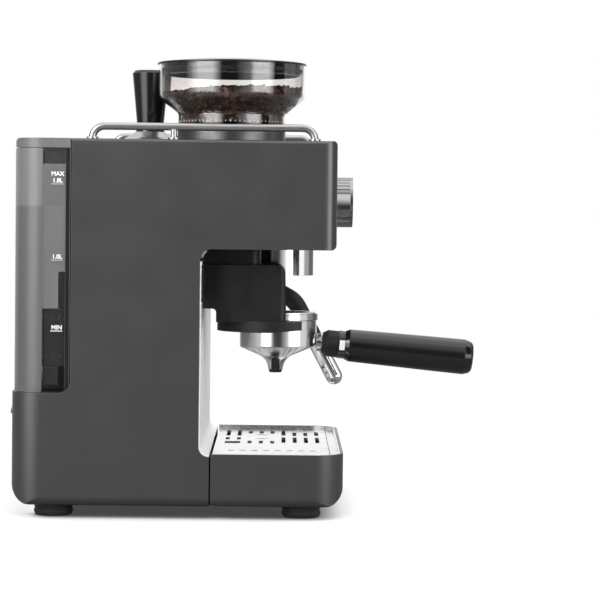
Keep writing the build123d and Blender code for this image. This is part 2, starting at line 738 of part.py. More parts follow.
def portafilter_room():
    """The space that the portafilter needs, open to the front."""
    room = post(GRIND_X, PF_Y, 100, FORK_TOP_Z + 0.1, PF_R + 0.7)
    room += block(GRIND_X - PF_R - 0.7, GRIND_X + PF_R + 0.7, -200, PF_Y, 100, FORK_TOP_Z + 0.1)
    room += post(GRIND_X, PF_Y, FORK_TOP_Z, RIM_ROOM_Z, PF_RIM_R + 1.2)
    return room + block(GRIND_X - PF_RIM_R - 1.2, GRIND_X + PF_RIM_R + 1.2, -200, PF_Y, FORK_TOP_Z, RIM_ROOM_Z)


def cradle():
    """Black fork that holds the portafilter under the chute, with a slanted funnel through the block above it."""
    body = cradle_block() + cradle_fork() - corner_relief() - portafilter_room() - chute_opening(SEAM)
    funnel = side_prism(
        [
            (CHUTE_END_Y - 6, CHUTE_LOW_Z + 0.1, 0),
            (-84, 204, 0),
            (-84, FORK_TOP_Z, 0),
            (-71, FORK_TOP_Z, 0),
            (-71, 204, 0),
            (CHUTE_END_Y + 6, CHUTE_LOW_Z + 0.1, 0),
        ],
        GRIND_X - CHUTE_HALF + 1,
        GRIND_X + CHUTE_HALF - 1,
    )
    return body - funnel - bar_y(GRIND_X, PLUNGER_Z, -60, -36, PLUNGER_R + 0.1)


def corner_relief():
    """Room at the top of the column for the housing's rounded inside corner."""
    y = COLUMN_FRONT_Y - 12
    corner = block(-200, 200, y, COLUMN_FRONT_Y, HEAD_UNDER_Z - 12, HEAD_UNDER_Z + 1)
    return corner - bar_x(COLUMN_FRONT_Y - 10.6, HEAD_UNDER_Z - 10.6, -200, 200, 9.8)


def dose_plunger():
    """Sprung pin that the portafilter's rim pushes to start the grinder."""
    return bar_y(GRIND_X, PLUNGER_Z, -49.7, -39, PLUNGER_R)


# ---- hopper ----
def hopper():
    """Smoked bowl: straight wall, rounded shoulder, cone and a neck that stands in the collar."""
    wall = 2.2
    return turned(
        GRIND_X,
        GRIND_Y,
        [
            (THROAT_R, 336, 0),
            (THROAT_R, 345.3, 0),
            (NECK_R, 345.3, 0),
            (NECK_R, 356, 3),
            (HOPPER_R - 0.5, 370, 9),
            (HOPPER_R, HOPPER_TOP_Z, 0),
            (HOPPER_R - wall, HOPPER_TOP_Z, 0),
            (HOPPER_R - wall - 0.5, 371.5, 7),
            (NECK_R - wall, 358, 3),
            (NECK_R - wall, 347.5, 0),
            (THROAT_R - wall, 345.3, 0),
            (THROAT_R - wall, 336, 0),
        ],
    )


def coffee_beans():
    """The space that the beans fill, from the throat to a low heap."""
    return turned(
        GRIND_X,
        GRIND_Y,
        [
            (0, 338, 0),
            (41.3, 338, 0),
            (41.3, 345.5, 0),
            (45.3, 348, 0),
            (45.3, 358.5, 3),
            (62.6, 372, 6),
            (62.9, 377, 0),
            (40, 381.5, 30),
            (0, 383.5, 0),
        ],
    )


def hopper_lid():
    """Domed lid with a rim over the bowl and a skirt inside it."""
    return turned(
        GRIND_X,
        GRIND_Y,
        [
            (0, 405.3, 0),
            (40, 404.3, 60),
            (67.2, 401.4, 0.4),
            (67.2, HOPPER_TOP_Z + 0.3, 0.4),
            (61.5, HOPPER_TOP_Z + 0.3, 0),
            (61.5, 390.5, 0),
            (59.3, 390.5, 0),
            (59.3, 400.2, 0),
            (0, 402.6, 0),
        ],
    )


# ---- tamper ----
def tamper_base():
    """Steel tamper foot, which stands in a recess of the top cover."""
    rim_z = TAMPER_LOW_Z + 16.5
    return turned(
        TAMPER_X,
        TAMPER_Y,
        [
            (0, TAMPER_LOW_Z, 0),
            (TAMPER_R, TAMPER_LOW_Z, 0.6),
            (TAMPER_R, rim_z, 1.5),
            (22, rim_z + 3, 3),
            (13.5, TAMPER_JOINT_Z, 0),
            (0, TAMPER_JOINT_Z, 0),
        ],
    )


def tamper_handle():
    """Gloss handle that widens towards its flat top."""
    return turned(
        TAMPER_X,
        TAMPER_Y,
        [
            (0, TAMPER_JOINT_Z, 0),
            (13.2, TAMPER_JOINT_Z, 0),
            (12.2, 347, 6),
            (16.7, TAMPER_TOP_Z - 2.6, 0.4),
            (14.6, TAMPER_TOP_Z, 0.4),
            (0, TAMPER_TOP_Z, 0),
        ],
    )


def portafilter_flare(inset):
    """The concave cone under the cup, about the spout's own axis, which lies a little behind the cup's."""
    return turned(
        GRIND_X,
        SPOUT_Y,
        [
            (0, SPOUT_LOW_Z, 0),
            (6.5 - inset, SPOUT_LOW_Z, 0),
            (8.0 - inset, 137.2, 14),
            (38 - inset, 149.9, 0),
            (38 - inset, 190, 0),
            (0, 190, 0),
        ],
    )


# ---- brew group ----
def group_head():
    """Polished brew head with a bayonet lip that a portafilter's ears turn into."""
    lip_low, lip_high = GROUP_LOW_Z + 2.1, GROUP_LOW_Z + 5.1
    head = post(GROUP_X, GROUP_Y, GROUP_LOW_Z, HEAD_UNDER_Z + 2.5, GROUP_R)
    head += post(GROUP_X, GROUP_Y, lip_low, GROUP_TOP_Z, GROUP_NECK_R)
    head += post(GROUP_X, GROUP_Y, GROUP_TOP_Z - 5.2, GROUP_TOP_Z, GROUP_NECK_R + 10)
    head -= post(GROUP_X, GROUP_Y, GROUP_LOW_Z - 10, GASKET_HIGH_Z, 30)
    lip = ring(GROUP_X, GROUP_Y, lip_low, lip_high, 30.5, 27.5)
    for angle in (0, 180):
        gap = Rot(0, 0, angle) * block(15, 40, -11, 11, lip_low - 7, lip_high + 5)
        lip -= Pos(GROUP_X, GROUP_Y, 0) * gap
    return head + lip


def group_gasket():
    return ring(GROUP_X, GROUP_Y, GASKET_LOW_Z, GASKET_HIGH_Z, 29.8, 25)


def shower_screen():
    """Pierced disc with its central screw head."""
    low = GASKET_HIGH_Z - 3.5
    disc = post(GROUP_X, GROUP_Y, low, GASKET_HIGH_Z, 24.8)
    for count, radius in ((6, 7.5), (12, 14), (18, 20)):
        for hole in range(count):
            angle = 2 * math.pi * hole / count
            x = GROUP_X + radius * math.cos(angle)
            y = GROUP_Y + radius * math.sin(angle)
            disc -= post(x, y, low - 2, low + 1.5, 1.1)
    return disc + post(GROUP_X, GROUP_Y, low - 1.5, low + 0.5, 4)


def boiler():
    """Cast heating block over the group, with cooling ribs."""
    half_x, half_y = 36, 34
    low = GROUP_TOP_Z + 0.1
    body = block(GROUP_X - half_x, GROUP_X + half_x, GROUP_Y - half_y, GROUP_Y + half_y, low, BOILER_TOP_Z)
    for rib in range(6):
        y = GROUP_Y - half_y + 4 + 12 * rib
        ends = (GROUP_X - half_x + 2, GROUP_X + half_x - 2)
        body += block(*ends, y - 1.5, y + 1.5, BOILER_TOP_Z, BOILER_TOP_Z + 10)
    return body


def pump():
    """Vibrating pump lying across the bottom of the column, in its bracket."""
    x0, x1 = PUMP_X
    body = bar_x(PUMP_Y, PUMP_Z, x0, x1, PUMP_R)
    body += bar_x(PUMP_Y, PUMP_Z, x0 - 18, x0, 9)
    body += bar_x(PUMP_Y, PUMP_Z, x1, OUTLET_X + 8, 7)
    body += post(OUTLET_X, PUMP_Y, PUMP_Z, PUMP_Z + 18, 4.5)
    body += bar_y(0, PUMP_Z, PUMP_Y + 5, PUMP_Y + 25, 5)
    return body + block(30, 75, PUMP_Y - 15, PUMP_Y + 15, BASE_Z + 3.1, PUMP_Z - 12)


def solenoid_valve():
    """Three-way valve that releases the pressure after brewing."""
    body = block(VALVE_X - 12, VALVE_X + 12, VALVE_Y - 13, VALVE_Y + 13, VALVE_Z - 13, VALVE_Z + 13)
    body += post(VALVE_X, VALVE_Y, VALVE_Z + 13, VALVE_Z + 39, 10)
    return body + bar_y(VALVE_X, VALVE_Z, VALVE_Y - 21, VALVE_Y - 13, 4)


def control_board():
    """Circuit board with a transformer, a relay and four capacitors on its front."""
    front = BOARD_Y - 18
    board = block(-110, 20, BOARD_Y, BOARD_Y + 1.6, 150, 290)
    board += block(-100, -70, front, BOARD_Y, 240, 270)
    board += block(-60, -35, front + 4, BOARD_Y, 250, 275)
    for capacitor in range(4):
        board += bar_y(-90 + 18 * capacitor, 180, front + 2, BOARD_Y, 6)
    return board


def elbow_hose(x, y, z_end, y_end, z_level, r):
    """A hose with an upright run and a level run along Y, joined by a round elbow."""
    upright = post(x, y, min(z_end, z_level), max(z_end, z_level), r)
    level = bar_y(x, z_level, min(y, y_end), max(y, y_end), r)
    return upright + level + Pos(x, y, z_level) * Sphere(r)


def hoses():
    """Silicone hose from the tank to the pump, and the pressure hose from the pump to the valve."""
    inlet = elbow_hose(0, SPIGOT_Y, 93.9, PUMP_Y + 25.1, PUMP_Z, 4)
    outlet = elbow_hose(OUTLET_X, PUMP_Y, PUMP_Z + 18.1, VALVE_Y + 13.1, VALVE_Z, 3)
    return group_of([inlet, outlet])


# ---- steam wand ----
WAND_R = 4.0
WAND_BENDS = [10, 24]
GRIP_LOW_Z = 151.2
WAND_LINE = [
    (WAND_X, WAND_Y, WAND_BALL_Z),
    (WAND_X, WAND_Y - 3, WAND_BALL_Z - 22),
    (WAND_X, WAND_Y - 43, 183),
    (WAND_X, -142.3, 109.7),
]


def wand_socket():
    """Chromed cup under the head that holds the wand's ball."""
    cup = post(WAND_X, WAND_Y, 219.5, 240, SOCKET_R)
    cup -= Pos(WAND_X, WAND_Y, WAND_BALL_Z) * Sphere(8.1)
    cup -= Pos(WAND_X, WAND_Y, 221.5) * Cone(12, 7, 6)
    return cup


def wand_stretch(r, z_low, z_high):
    """The part of a round bar along the wand's line that lies between two heights."""
    return pipe(WAND_LINE, WAND_BENDS, r) & block(0, 200, -200, 0, z_low, z_high)


def wand_tube():
    """Steel steam tube with its ball, and the wide rounded nozzle sleeve at its end."""
    sleeve_r = 8.2
    tube = pipe(WAND_LINE, WAND_BENDS, WAND_R)
    tube += Pos(WAND_X, WAND_Y, WAND_BALL_Z) * Sphere(8)
    sleeve = wand_stretch(sleeve_r, 60, GRIP_LOW_Z - 0.2)
    return tube + sleeve + Pos(*WAND_LINE[-1]) * Sphere(sleeve_r)


def wand_grip():
    """Black grip over the bent part of the steam tube."""
    return wand_stretch(8.4, GRIP_LOW_Z, 212) - pipe(WAND_LINE, WAND_BENDS, WAND_R)


# ---- portafilter ----
def portafilter_body():
    """Chromed cup with a rim, a concave cone, a short spout and the neck that the handle is fixed to."""
    rim_low = FORK_TOP_Z + 0.4
    cup = turned(
        GRIND_X,
        PF_Y,
        [
            (0, 118, 0),
            (10, 118, 0),
            (PF_R, 147.6, 5),
            (PF_R, rim_low, 0.6),
            (PF_RIM_R, rim_low, 0.5),
            (PF_RIM_R, RIM_TOP_Z, 1),
            (0, RIM_TOP_Z, 0),
        ],
    )
    hollow = [(0, 140.5, 0), (5, 140.5, 0), (30.5, 151, 3), (30.5, RIM_TOP_Z + 1, 0), (0, RIM_TOP_Z + 1, 0)]
    cup = cup & portafilter_flare(0)
    cup -= turned(GRIND_X, PF_Y, hollow) + post(GRIND_X, SPOUT_Y, 120, 142, 3) + spout_slot()
    neck = handle_place() * bar_y(0, 0, -16, 3.5, NECK_BAR_R)
    neck += handle_place() * bar_y(0, 0, -4.5, -1, 8.2)
    return cup + (neck - post(GRIND_X, PF_Y, 100, 200, PF_R - 1))


def spout_slot():
    """Arched slot right through the spout and the cone above it."""
    reach = 20
    slot = block(GRIND_X - reach, GRIND_X + reach, SPOUT_Y - SLOT_R, SPOUT_Y + SLOT_R, 120, SLOT_ARCH_Z)
    return slot + bar_x(SPOUT_Y, SLOT_ARCH_Z, GRIND_X - reach, GRIND_X + reach, SLOT_R)


def spout_insert():
    """Black liner that fills the spout's slot, ends in a lip and has two holes, which part the stream in two."""
    liner = spout_slot() & portafilter_flare(0.4) & block(-200, 0, -200, 0, SPOUT_LOW_Z, 150)
    lip = [(0, 124.6, 0), (5.4, 124.6, 0.6), (6.2, SPOUT_LOW_Z, 0), (0, SPOUT_LOW_Z, 0)]
    liner += turned(GRIND_X, SPOUT_Y, lip)
    for x in (-1.8, 1.8):
        liner -= post(GRIND_X + x, SPOUT_Y, 120, 142, 1.2)
    return liner


def filter_basket():
    """Pressed steel basket that hangs on the portafilter's rim."""
    return turned(
        GRIND_X,
        PF_Y,
        [
            (0, 155, 0),
            (27.5, 155, 2),
            (29.2, 178.1, 0),
            (34, 178.1, 0),
            (34, 179.2, 0.4),
            (28.5, 179.2, 0),
            (26.9, 155.8, 1.4),
            (0, 155.8, 0),
        ],
    )


def handle_place():
    """Frame of the tilted handle: its axis runs along -Y from the cup's wall."""
    return Pos(GRIND_X, PF_Y - PF_R + 0.5, HANDLE_START_Z) * Rot(HANDLE_TILT, 0, 0)


def handle_collar():
    """Faceted black collar behind the cup, tapered towards it."""
    bore = NECK_BAR_R
    collar = turned_y([(bore, -20, 0), (12.2, -20, 0.5), (12.2, -10.5, 2), (9.2, -5.5, 0.5), (bore, -5.5, 0)])
    facets = extrude(Plane.XZ * RegularPolygon(12.5, COLLAR_FACETS), 30)
    return handle_place() * (collar & facets)


def handle_ferrule():
    """Ring between collar and grip, and the stud that the grip is screwed on."""
    return handle_place() * (bar_y(0, 0, -26, -20.1, 12.6) + bar_y(0, 0, -46, -20.1, STUD_R))


def handle_grip():
    """Gloss black grip, slightly thicker towards its rounded end."""
    grip = turned_y(
        [
            (0, -142, 0),
            (13.5, -142, 5),
            (15.9, -134, 4),
            (15.6, -100, 60),
            (14.6, -30, 2),
            (12.8, -26.1, 0.6),
            (0, -26.1, 0),
        ]
    )
    return handle_place() * (grip - bar_y(0, 0, -46.1, -20, STUD_R))


# ---- drip tray ----
def tray_plan(inset):
    """The tray's outline from above, with its rounded front corners."""
    i = inset
    return plan_prism(
        [
            (-HALF_W + i, TRAY_FRONT_Y + i, TRAY_CORNER_R - i),
            (HALF_W - i, TRAY_FRONT_Y + i, TRAY_CORNER_R - i),
            (HALF_W - i, 0, 0),
            (-HALF_W + i, 0, 0),
        ],
        0,
        100,
    )


def tray_solid(inset, z_top):
    """The tray's outer form, with a large radius under the front edge."""
    i = inset
    side = side_prism(
        [
            (TRAY_SEAM_Y - 1.5 - i, BASE_Z + 0.5 + i, 0),
            (TRAY_SEAM_Y - 1.5 - i, z_top, 0),
            (TRAY_FRONT_Y + i, z_top, 0),
            (TRAY_FRONT_Y + i, BASE_Z + 0.5 + i, 17 - i),
        ],
        -HALF_W + i,
        HALF_W - i,
    )
    return side & tray_plan(i) & end_view_solid(i)


def tray_front():
    """Painted skirt round the tray's front and sides, open at the back."""
    inner_x = HALF_W - WALL
    skirt = tray_solid(0, SKIRT_TOP_Z) - tray_solid(WALL, 60)
    skirt -= block(-inner_x, inner_x, TRAY_SEAM_Y - 5, 0, 0, 60)
    return skirt - block(-125, 125, -128, 0, 0, BASE_Z + 3.2)


def drip_tray():
    """Steel pan that catches the drips, with its polished front rim and a guide pin for the float."""
    outside = WALL + 0.1
    pan = tray_solid(outside, PAN_TOP_Z) - tray_solid(outside + 2, 60)
    front = block(-200, 200, -200, RIM_SEAM_Y - 0.25, PAN_TOP_Z - 0.1, 60)
    upstand = tray_solid(outside, SKIRT_TOP_Z - 0.2) - tray_solid(outside + UPSTAND, 60)
    pan += (tray_solid(outside, GRATE_TOP_Z) + upstand) & front
    return pan + post(FLOAT_X, FLOAT_Y, 15, 44, FLOAT_PIN_R)


def lens(x, y, length, width):
    """A lens-shaped hole that is pointed at both ends and runs along Y."""
    r = (length**2 + width**2) / (4 * width)
    reach = r - width / 2
    return post(x - reach, y, 50, 60, r) & post(x + reach, y, 50, 60, r)


def drip_grate():
    """Polished steel plate with broken rows of slots and raised edges along both sides."""
    play = WALL + 0.2
    front, back = RIM_SEAM_Y + 0.25, TRAY_SEAM_Y - 1.6
    plate = block(-200, 200, front, back, PAN_TOP_Z + 0.1, GRATE_TOP_Z) & tray_plan(play)
    edges = tray_plan(play) - tray_plan(play + UPSTAND)
    plate += edges & block(-200, 200, front, back, PAN_TOP_Z + 0.1, SKIRT_TOP_Z - 0.2)
    rows = [GRATE_ROW_Y - GRATE_PITCH * row for row in range(9)]
    for chosen, slots in GRATE_SLOTS:
        for row in chosen:
            for x0, x1 in slots:
                plate -= block(x0, x1, rows[row] - SLOT_HALF, rows[row] + SLOT_HALF, 50, 60)
    plate -= block(-3.5, 17, rows[1] - SLOT_HALF, rows[0] + SLOT_HALF, 50, 60)
    for x, row in ((80, 3), (43, 3), (130, 7)):
        plate -= lens(x, rows[row], 19, 5)
    for row in range(8):
        middle = rows[row] - GRATE_PITCH / 2
        plate -= block(-70, -64.5, middle - 2.7, middle + 2.7, 50, 60)
    return plate - post(FLOAT_X, FLOAT_Y, 50, 60, FLOAT_R + 1)


def tray_float():
    """Red float that rises through the grate when the tray is full."""
    cup = post(FLOAT_X, FLOAT_Y, 16.7, 26, 2 * FLOAT_R) + post(FLOAT_X, FLOAT_Y, 26, PAN_TOP_Z - 0.5, FLOAT_R)
    return cup - post(FLOAT_X, FLOAT_Y, 10, 45, FLOAT_PIN_R + RUNNING)


# ---- front controls ----
def main_dial():
    """Knurled metal dial on its spindle."""
    dial = bar_y(DIAL_X, DIAL_Z, DIAL_FRONT_Y, HEAD_FRONT_Y - 0.5, DIAL_R)
    for flute in range(DIAL_FLUTES):
        angle = 2 * math.pi * flute / DIAL_FLUTES
        x = DIAL_X + (DIAL_R + 0.4) * math.cos(angle)
        z = DIAL_Z + (DIAL_R + 0.4) * math.sin(angle)
        dial -= bar_y(x, z, DIAL_FRONT_Y + 3, HEAD_FRONT_Y - 3.3, 0.9)
    dial -= block(DIAL_X - 0.8, DIAL_X + 0.8, DIAL_FRONT_Y - 1, DIAL_FRONT_Y + 1, DIAL_Z + 9, DIAL_Z + 21)
    return dial + bar_y(DIAL_X, DIAL_Z, HEAD_FRONT_Y - 0.8, -128, 6)


def grind_knob():
    """Small metal knob for the grinding time."""
    front = -151.0
    knob = bar_y(GRIND_X, KNOB_Z, front, HEAD_FRONT_Y - 0.5, KNOB_R)
    knob -= block(GRIND_X - 0.7, GRIND_X + 0.7, front - 1, front + 1, KNOB_Z + 4, KNOB_Z + 11)
    return knob + bar_y(GRIND_X, KNOB_Z, HEAD_FRONT_Y - 0.8, -128, 5)


def push_button(x):
    """Round push button with a collar behind the panel."""
    return bar_y(x, DIAL_Z, -139.2, -130, 7) + bar_y(x, DIAL_Z, -134.8, -133, 9)


# ---- the set of nodes ----
def all_nodes():
    shell = housing_shell()
    nodes = {
        "left_side_panel": side_panel(shell, -1),
        "right_side_panel": side_panel(shell, 1),
        "head_front_panel": head_front_panel(shell),
        "top_cover": top_cover(shell),
        "head_underside": head_underside(shell),
        "splash_wall": splash_wall(),
        "rear_cover": rear_cover(shell),
        "tank_dock": tank_dock(shell),
        "base_pan": base_pan(),
        "feet": feet(),
        "inner_frame": inner_frame(),
        "cup_rails": cup_rails(),
        "cable_gland": cable_gland(),
        "case_screws": case_screws(),
        "water_tank": water_tank(),
        "tank_lid": tank_lid(),
        "tank_valve": tank_valve(),
        "adjust_collar": adjust_collar(),
        "ring_burr": ring_burr(),
        "cone_burr": cone_burr(),
        "burr_shaft": burr_shaft(),
        "burr_bearings": burr_bearings(),
        "burr_housing": burr_housing(),
        "main_gear": main_gear(),
        "idler_gear": idler_gear(),
        "motor_pinion": motor_pinion(),
        "grinder_motor": grinder_motor(),
        "grounds_chute": grounds_chute(),
        "cradle": cradle(),
        "dose_plunger": dose_plunger(),
        "hopper": hopper(),
        "coffee_beans": coffee_beans(),
        "hopper_lid": hopper_lid(),
        "tamper_base": tamper_base(),
        "tamper_handle": tamper_handle(),
        "group_head": group_head(),
        "group_gasket": group_gasket(),
        "shower_screen": shower_screen(),
        "boiler": boiler(),
        "pump": pump(),
        "solenoid_valve": solenoid_valve(),
        "control_board": control_board(),
        "hoses": hoses(),
        "wand_socket": wand_socket(),
        "wand_tube": wand_tube(),
        "wand_grip": wand_grip(),
        "portafilter_body": portafilter_body(),
        "spout_insert": spout_insert(),
        "filter_basket": filter_basket(),
        "handle_collar": handle_collar(),
        "handle_ferrule": handle_ferrule(),
        "handle_grip": handle_grip(),
        "tray_front": tray_front(),
        "drip_tray": drip_tray(),
        "drip_grate": drip_grate(),
        "tray_float": tray_float(),
        "main_dial": main_dial(),
        "grind_knob": grind_knob(),
    }
    for name, x in BUTTON_XS.items():
        nodes[name] = push_button(x)
    return nodes


def main():
    os.makedirs("parts", exist_ok=True)
    nodes = all_nodes()
    front = min(shape.bounding_box().min.Y for shape in nodes.values())
    back = max(shape.bounding_box().max.Y for shape in nodes.values())
    shift = Pos(0, -(front + back) / 2, 0)
    for name, shape in nodes.items():
        export_step(shift * shape, f"parts/{name}.step")
    print("shift along Y:", -(front + back) / 2)


main()
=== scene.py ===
import bpy
import bmesh
import math
import random
from mathutils import Euler, Matrix, Vector


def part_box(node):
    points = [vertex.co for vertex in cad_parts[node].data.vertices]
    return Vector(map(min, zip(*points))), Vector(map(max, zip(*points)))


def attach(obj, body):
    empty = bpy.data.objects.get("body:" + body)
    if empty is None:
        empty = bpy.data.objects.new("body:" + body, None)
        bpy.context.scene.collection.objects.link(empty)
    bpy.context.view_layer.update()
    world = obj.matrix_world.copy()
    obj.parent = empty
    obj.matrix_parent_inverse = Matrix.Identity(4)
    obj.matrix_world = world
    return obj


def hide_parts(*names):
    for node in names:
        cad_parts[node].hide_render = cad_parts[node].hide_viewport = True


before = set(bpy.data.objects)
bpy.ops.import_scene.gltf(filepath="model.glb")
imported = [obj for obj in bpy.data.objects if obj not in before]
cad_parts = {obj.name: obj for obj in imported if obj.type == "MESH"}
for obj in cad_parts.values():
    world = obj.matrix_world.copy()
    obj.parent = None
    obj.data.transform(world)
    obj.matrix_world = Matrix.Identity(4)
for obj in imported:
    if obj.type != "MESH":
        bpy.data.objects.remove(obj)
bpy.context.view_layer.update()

MM = 0.001
EDGE_BLEND = 0.3 * MM


# ---- places read from the frame ----
def centre_of(node):
    low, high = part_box(node)
    return (low + high) / 2


def low_of(node):
    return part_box(node)[0]


def high_of(node):
    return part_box(node)[1]


HOPPER = centre_of("adjust_collar")
PORTAFILTER = centre_of("filter_basket")
TANK_LOW, TANK_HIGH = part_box("water_tank")
BODY_LOW = low_of("left_side_panel")

# ---- the tank's window, and what stands behind it ----
WINDOW_FRONT = TANK_LOW.y + 4.5 * MM
WINDOW_BACK = TANK_HIGH.y - 26 * MM
WATER_LOW, WATER_HIGH = 133 * MM, 272 * MM
BLOCK_TOP, STEP_TOP = 183 * MM, 215 * MM
STEP_BACK = TANK_LOW.y + 10.7 * MM
RIM_LOW, RIM_HIGH = 308.5 * MM, 319.4 * MM

# ---- the bowl and its heap of beans ----
BOWL_NECK_TOP, BOWL_CONE_TOP = 358.5 * MM, 371.5 * MM
BOWL_NECK_R, BOWL_WALL_R = 45.2 * MM, 62.4 * MM
HEAP_LOW, HEAP_TOP = 350 * MM, 380 * MM
HEAP_R = 59 * MM
HEAP_ROWS = 8
BEAN_PITCH = 4.6 * MM
BEAN_HALF = 3 * MM
GRIND_MARK_R, GRIND_MARK_Z = 48.02 * MM, 349 * MM
SEAL_R, SEAL_Z = 62.4 * MM, 395 * MM


# ---- shader helpers ----
class Look:
    """A node material built from short calls."""

    def __init__(self, name):
        self.material = bpy.data.materials.new(name)
        self.material.use_nodes = True
        self.tree = self.material.node_tree
        self.shader = self.tree.nodes["Principled BSDF"]
        self.coords = self.add("ShaderNodeTexCoord").outputs["Object"]

    def add(self, kind, inputs=None, **settings):
        node = self.tree.nodes.new(kind)
        for key, value in settings.items():
            setattr(node, key, value)
        for key, value in (inputs or {}).items():
            self.plug(node, key, value)
        return node

    def plug(self, node, key, value):
        socket = node.inputs[key]
        if isinstance(value, bpy.types.NodeSocket):
            self.tree.links.new(value, socket)
        else:
            socket.default_value = value

    def set(self, **values):
        for key, value in values.items():
            self.plug(self.shader, key.replace("_", " "), value)

    def stretched(self, stretch):
        return self.add("ShaderNodeMapping", {"Vector": self.coords, "Scale": stretch}).outputs[0]

    def noise(self, scale, detail=4.0, stretch=(1, 1, 1), roughness=0.55):
        vector = self.stretched(stretch)
        inputs = {"Vector": vector, "Scale": scale, "Detail": detail, "Roughness": roughness}
        return self.add("ShaderNodeTexNoise", inputs).outputs["Fac"]

    def remap(self, value, low, high, out_low, out_high):
        inputs = {"Value": value, "From Min": low, "From Max": high, "To Min": out_low, "To Max": out_high}
        return self.add("ShaderNodeMapRange", inputs, clamp=True).outputs["Result"]

    def math(self, operation, a, b=0.0):
        return self.add("ShaderNodeMath", {0: a, 1: b}, operation=operation).outputs[0]

    def ramp(self, value, stops):
        node = self.add("ShaderNodeValToRGB", {"Fac": value})
        fill_ramp(node.color_ramp, stops)
        return node.outputs["Color"]

    def mix(self, factor, a, b):
        node = self.add("ShaderNodeMix", data_type="RGBA")
        self.plug(node, 0, factor)
        self.plug(node, 6, a if isinstance(a, bpy.types.NodeSocket) else (*a, 1.0))
        self.plug(node, 7, b if isinstance(b, bpy.types.NodeSocket) else (*b, 1.0))
        return node.outputs[2]

    def rounded(self, radius):
        """Normals eased over the edges, so that they catch the light as real edges do."""
        return self.add("ShaderNodeBevel", {"Radius": radius}, samples=4).outputs["Normal"]

    def worn_edges(self, radius):
        """High on edges, where the eased normal leaves the true one."""
        true_normal = self.add("ShaderNodeNewGeometry").outputs["Normal"]
        eased = self.rounded(radius)
        dot = self.add("ShaderNodeVectorMath", {0: eased, 1: true_normal}, operation="DOT_PRODUCT")
        return self.remap(dot.outputs["Value"], 0.75, 0.99, 1.0, 0.0)

    def bump(self, height, distance, strength=1.0, edge=0.0004):
        inputs = {"Height": height, "Distance": distance, "Strength": strength}
        if edge:
            inputs["Normal"] = self.rounded(edge)
        self.plug(self.shader, "Normal", self.add("ShaderNodeBump", inputs).outputs["Normal"])


def fill_ramp(ramp, stops):
    """Gives a ramp its stops, which are (place, colour) in rising order."""
    for element, (place, colour) in zip(ramp.elements, (stops[0], stops[-1])):
        element.position = place
        element.color = (*colour, 1.0)
    for place, colour in stops[1:-1]:
        ramp.elements.new(place).color = (*colour, 1.0)


def shade(colour, factor):
    return tuple(min(1.0, channel * factor) for channel in colour)


def mottled(look, colour, vary, scale):
    """Base colour that drifts gently around one tone."""
    stops = [(0.3, shade(colour, 1 - vary)), (0.7, shade(colour, 1 + vary))]
    return look.ramp(look.noise(scale, 5.0), stops)


def mottled_roughness(look, middle, spread, scale):
    return look.remap(look.noise(scale, 6.0), 0.3, 0.7, middle - spread, middle + spread)


# ---- materials ----
def satin_paint():
    """Anthracite powder coat: fine grain, slight metallic depth, edges a little polished."""
    look = Look("satin_anthracite_paint")
    colour = mottled(look, (0.043, 0.0435, 0.044), 0.05, 9)
    speck = look.remap(look.noise(2600, 2.0), 0.62, 0.72, 0.0, 0.3)
    colour = look.mix(speck, colour, (0.10, 0.10, 0.103))
    wear = look.math("MULTIPLY", look.worn_edges(0.0009), 0.3)
    look.set(Base_Color=look.mix(wear, colour, (0.16, 0.16, 0.165)))
    look.set(Metallic=0.3, Roughness=mottled_roughness(look, 0.33, 0.03, 30), Specular_IOR_Level=1.0)
    look.bump(look.noise(1500, 3.0), 0.00002, 0.5, 0.0006)
    return look.material


def polished(name, colour, roughness, smudge):
    """Polished plated metal with faint smudges and hairlines."""
    look = Look(name)
    look.set(Base_Color=mottled(look, colour, 0.03, 12), Metallic=1.0)
    haze = look.remap(look.noise(22, 7.0), 0.45, 0.75, roughness, roughness + smudge)
    look.set(Roughness=haze)
    look.bump(look.noise(120, 3.0, (1, 1, 0.2)), 0.000015, 0.25, 0.0004)
    return look.material


def brushed(name, colour, roughness, stretch, metallic=1.0):
    """Brushed metal: fine streaks along the axis that the stretch scales least."""
    look = Look(name)
    streak = look.noise(420, 8.0, stretch, 0.7)
    tones = [(0.25, shade(colour, 0.86)), (0.75, shade(colour, 1.1))]
    look.set(Base_Color=look.ramp(streak, tones), Metallic=metallic)
    look.set(Roughness=look.remap(streak, 0.3, 0.7, roughness - 0.06, roughness + 0.08))
    look.bump(streak, 0.00002, 0.5, 0.0004)
    return look.material


def textured_plastic(name, colour, roughness, grain=1400.0, depth=0.00005, coat=0.0):
    """Moulded plastic with a spark-eroded grain and slightly rubbed edges."""
    look = Look(name)
    base = mottled(look, colour, 0.12, 25)
    wear = look.math("MULTIPLY", look.worn_edges(0.0006), 0.5)
    look.set(Base_Color=look.mix(wear, base, shade(colour, 2.2)))
    look.set(Roughness=mottled_roughness(look, roughness, 0.07, 60))
    look.set(Coat_Weight=coat, Coat_Roughness=0.12, Specular_IOR_Level=0.3)
    look.bump(look.noise(grain, 3.0), depth, 0.6, 0.0005)
    return look.material


def gloss_plastic(name, colour):
    """Gloss moulding under a clear coat, with faint swirl marks."""
    look = Look(name)
    look.set(Base_Color=mottled(look, colour, 0.15, 14))
    look.set(Roughness=look.remap(look.noise(45, 7.0), 0.45, 0.75, 0.10, 0.26))
    look.set(Coat_Weight=0.3, Coat_Roughness=0.05, Specular_IOR_Level=0.3)
    look.bump(look.noise(70, 3.0), 0.00002, 0.2, 0.0006)
    return look.material


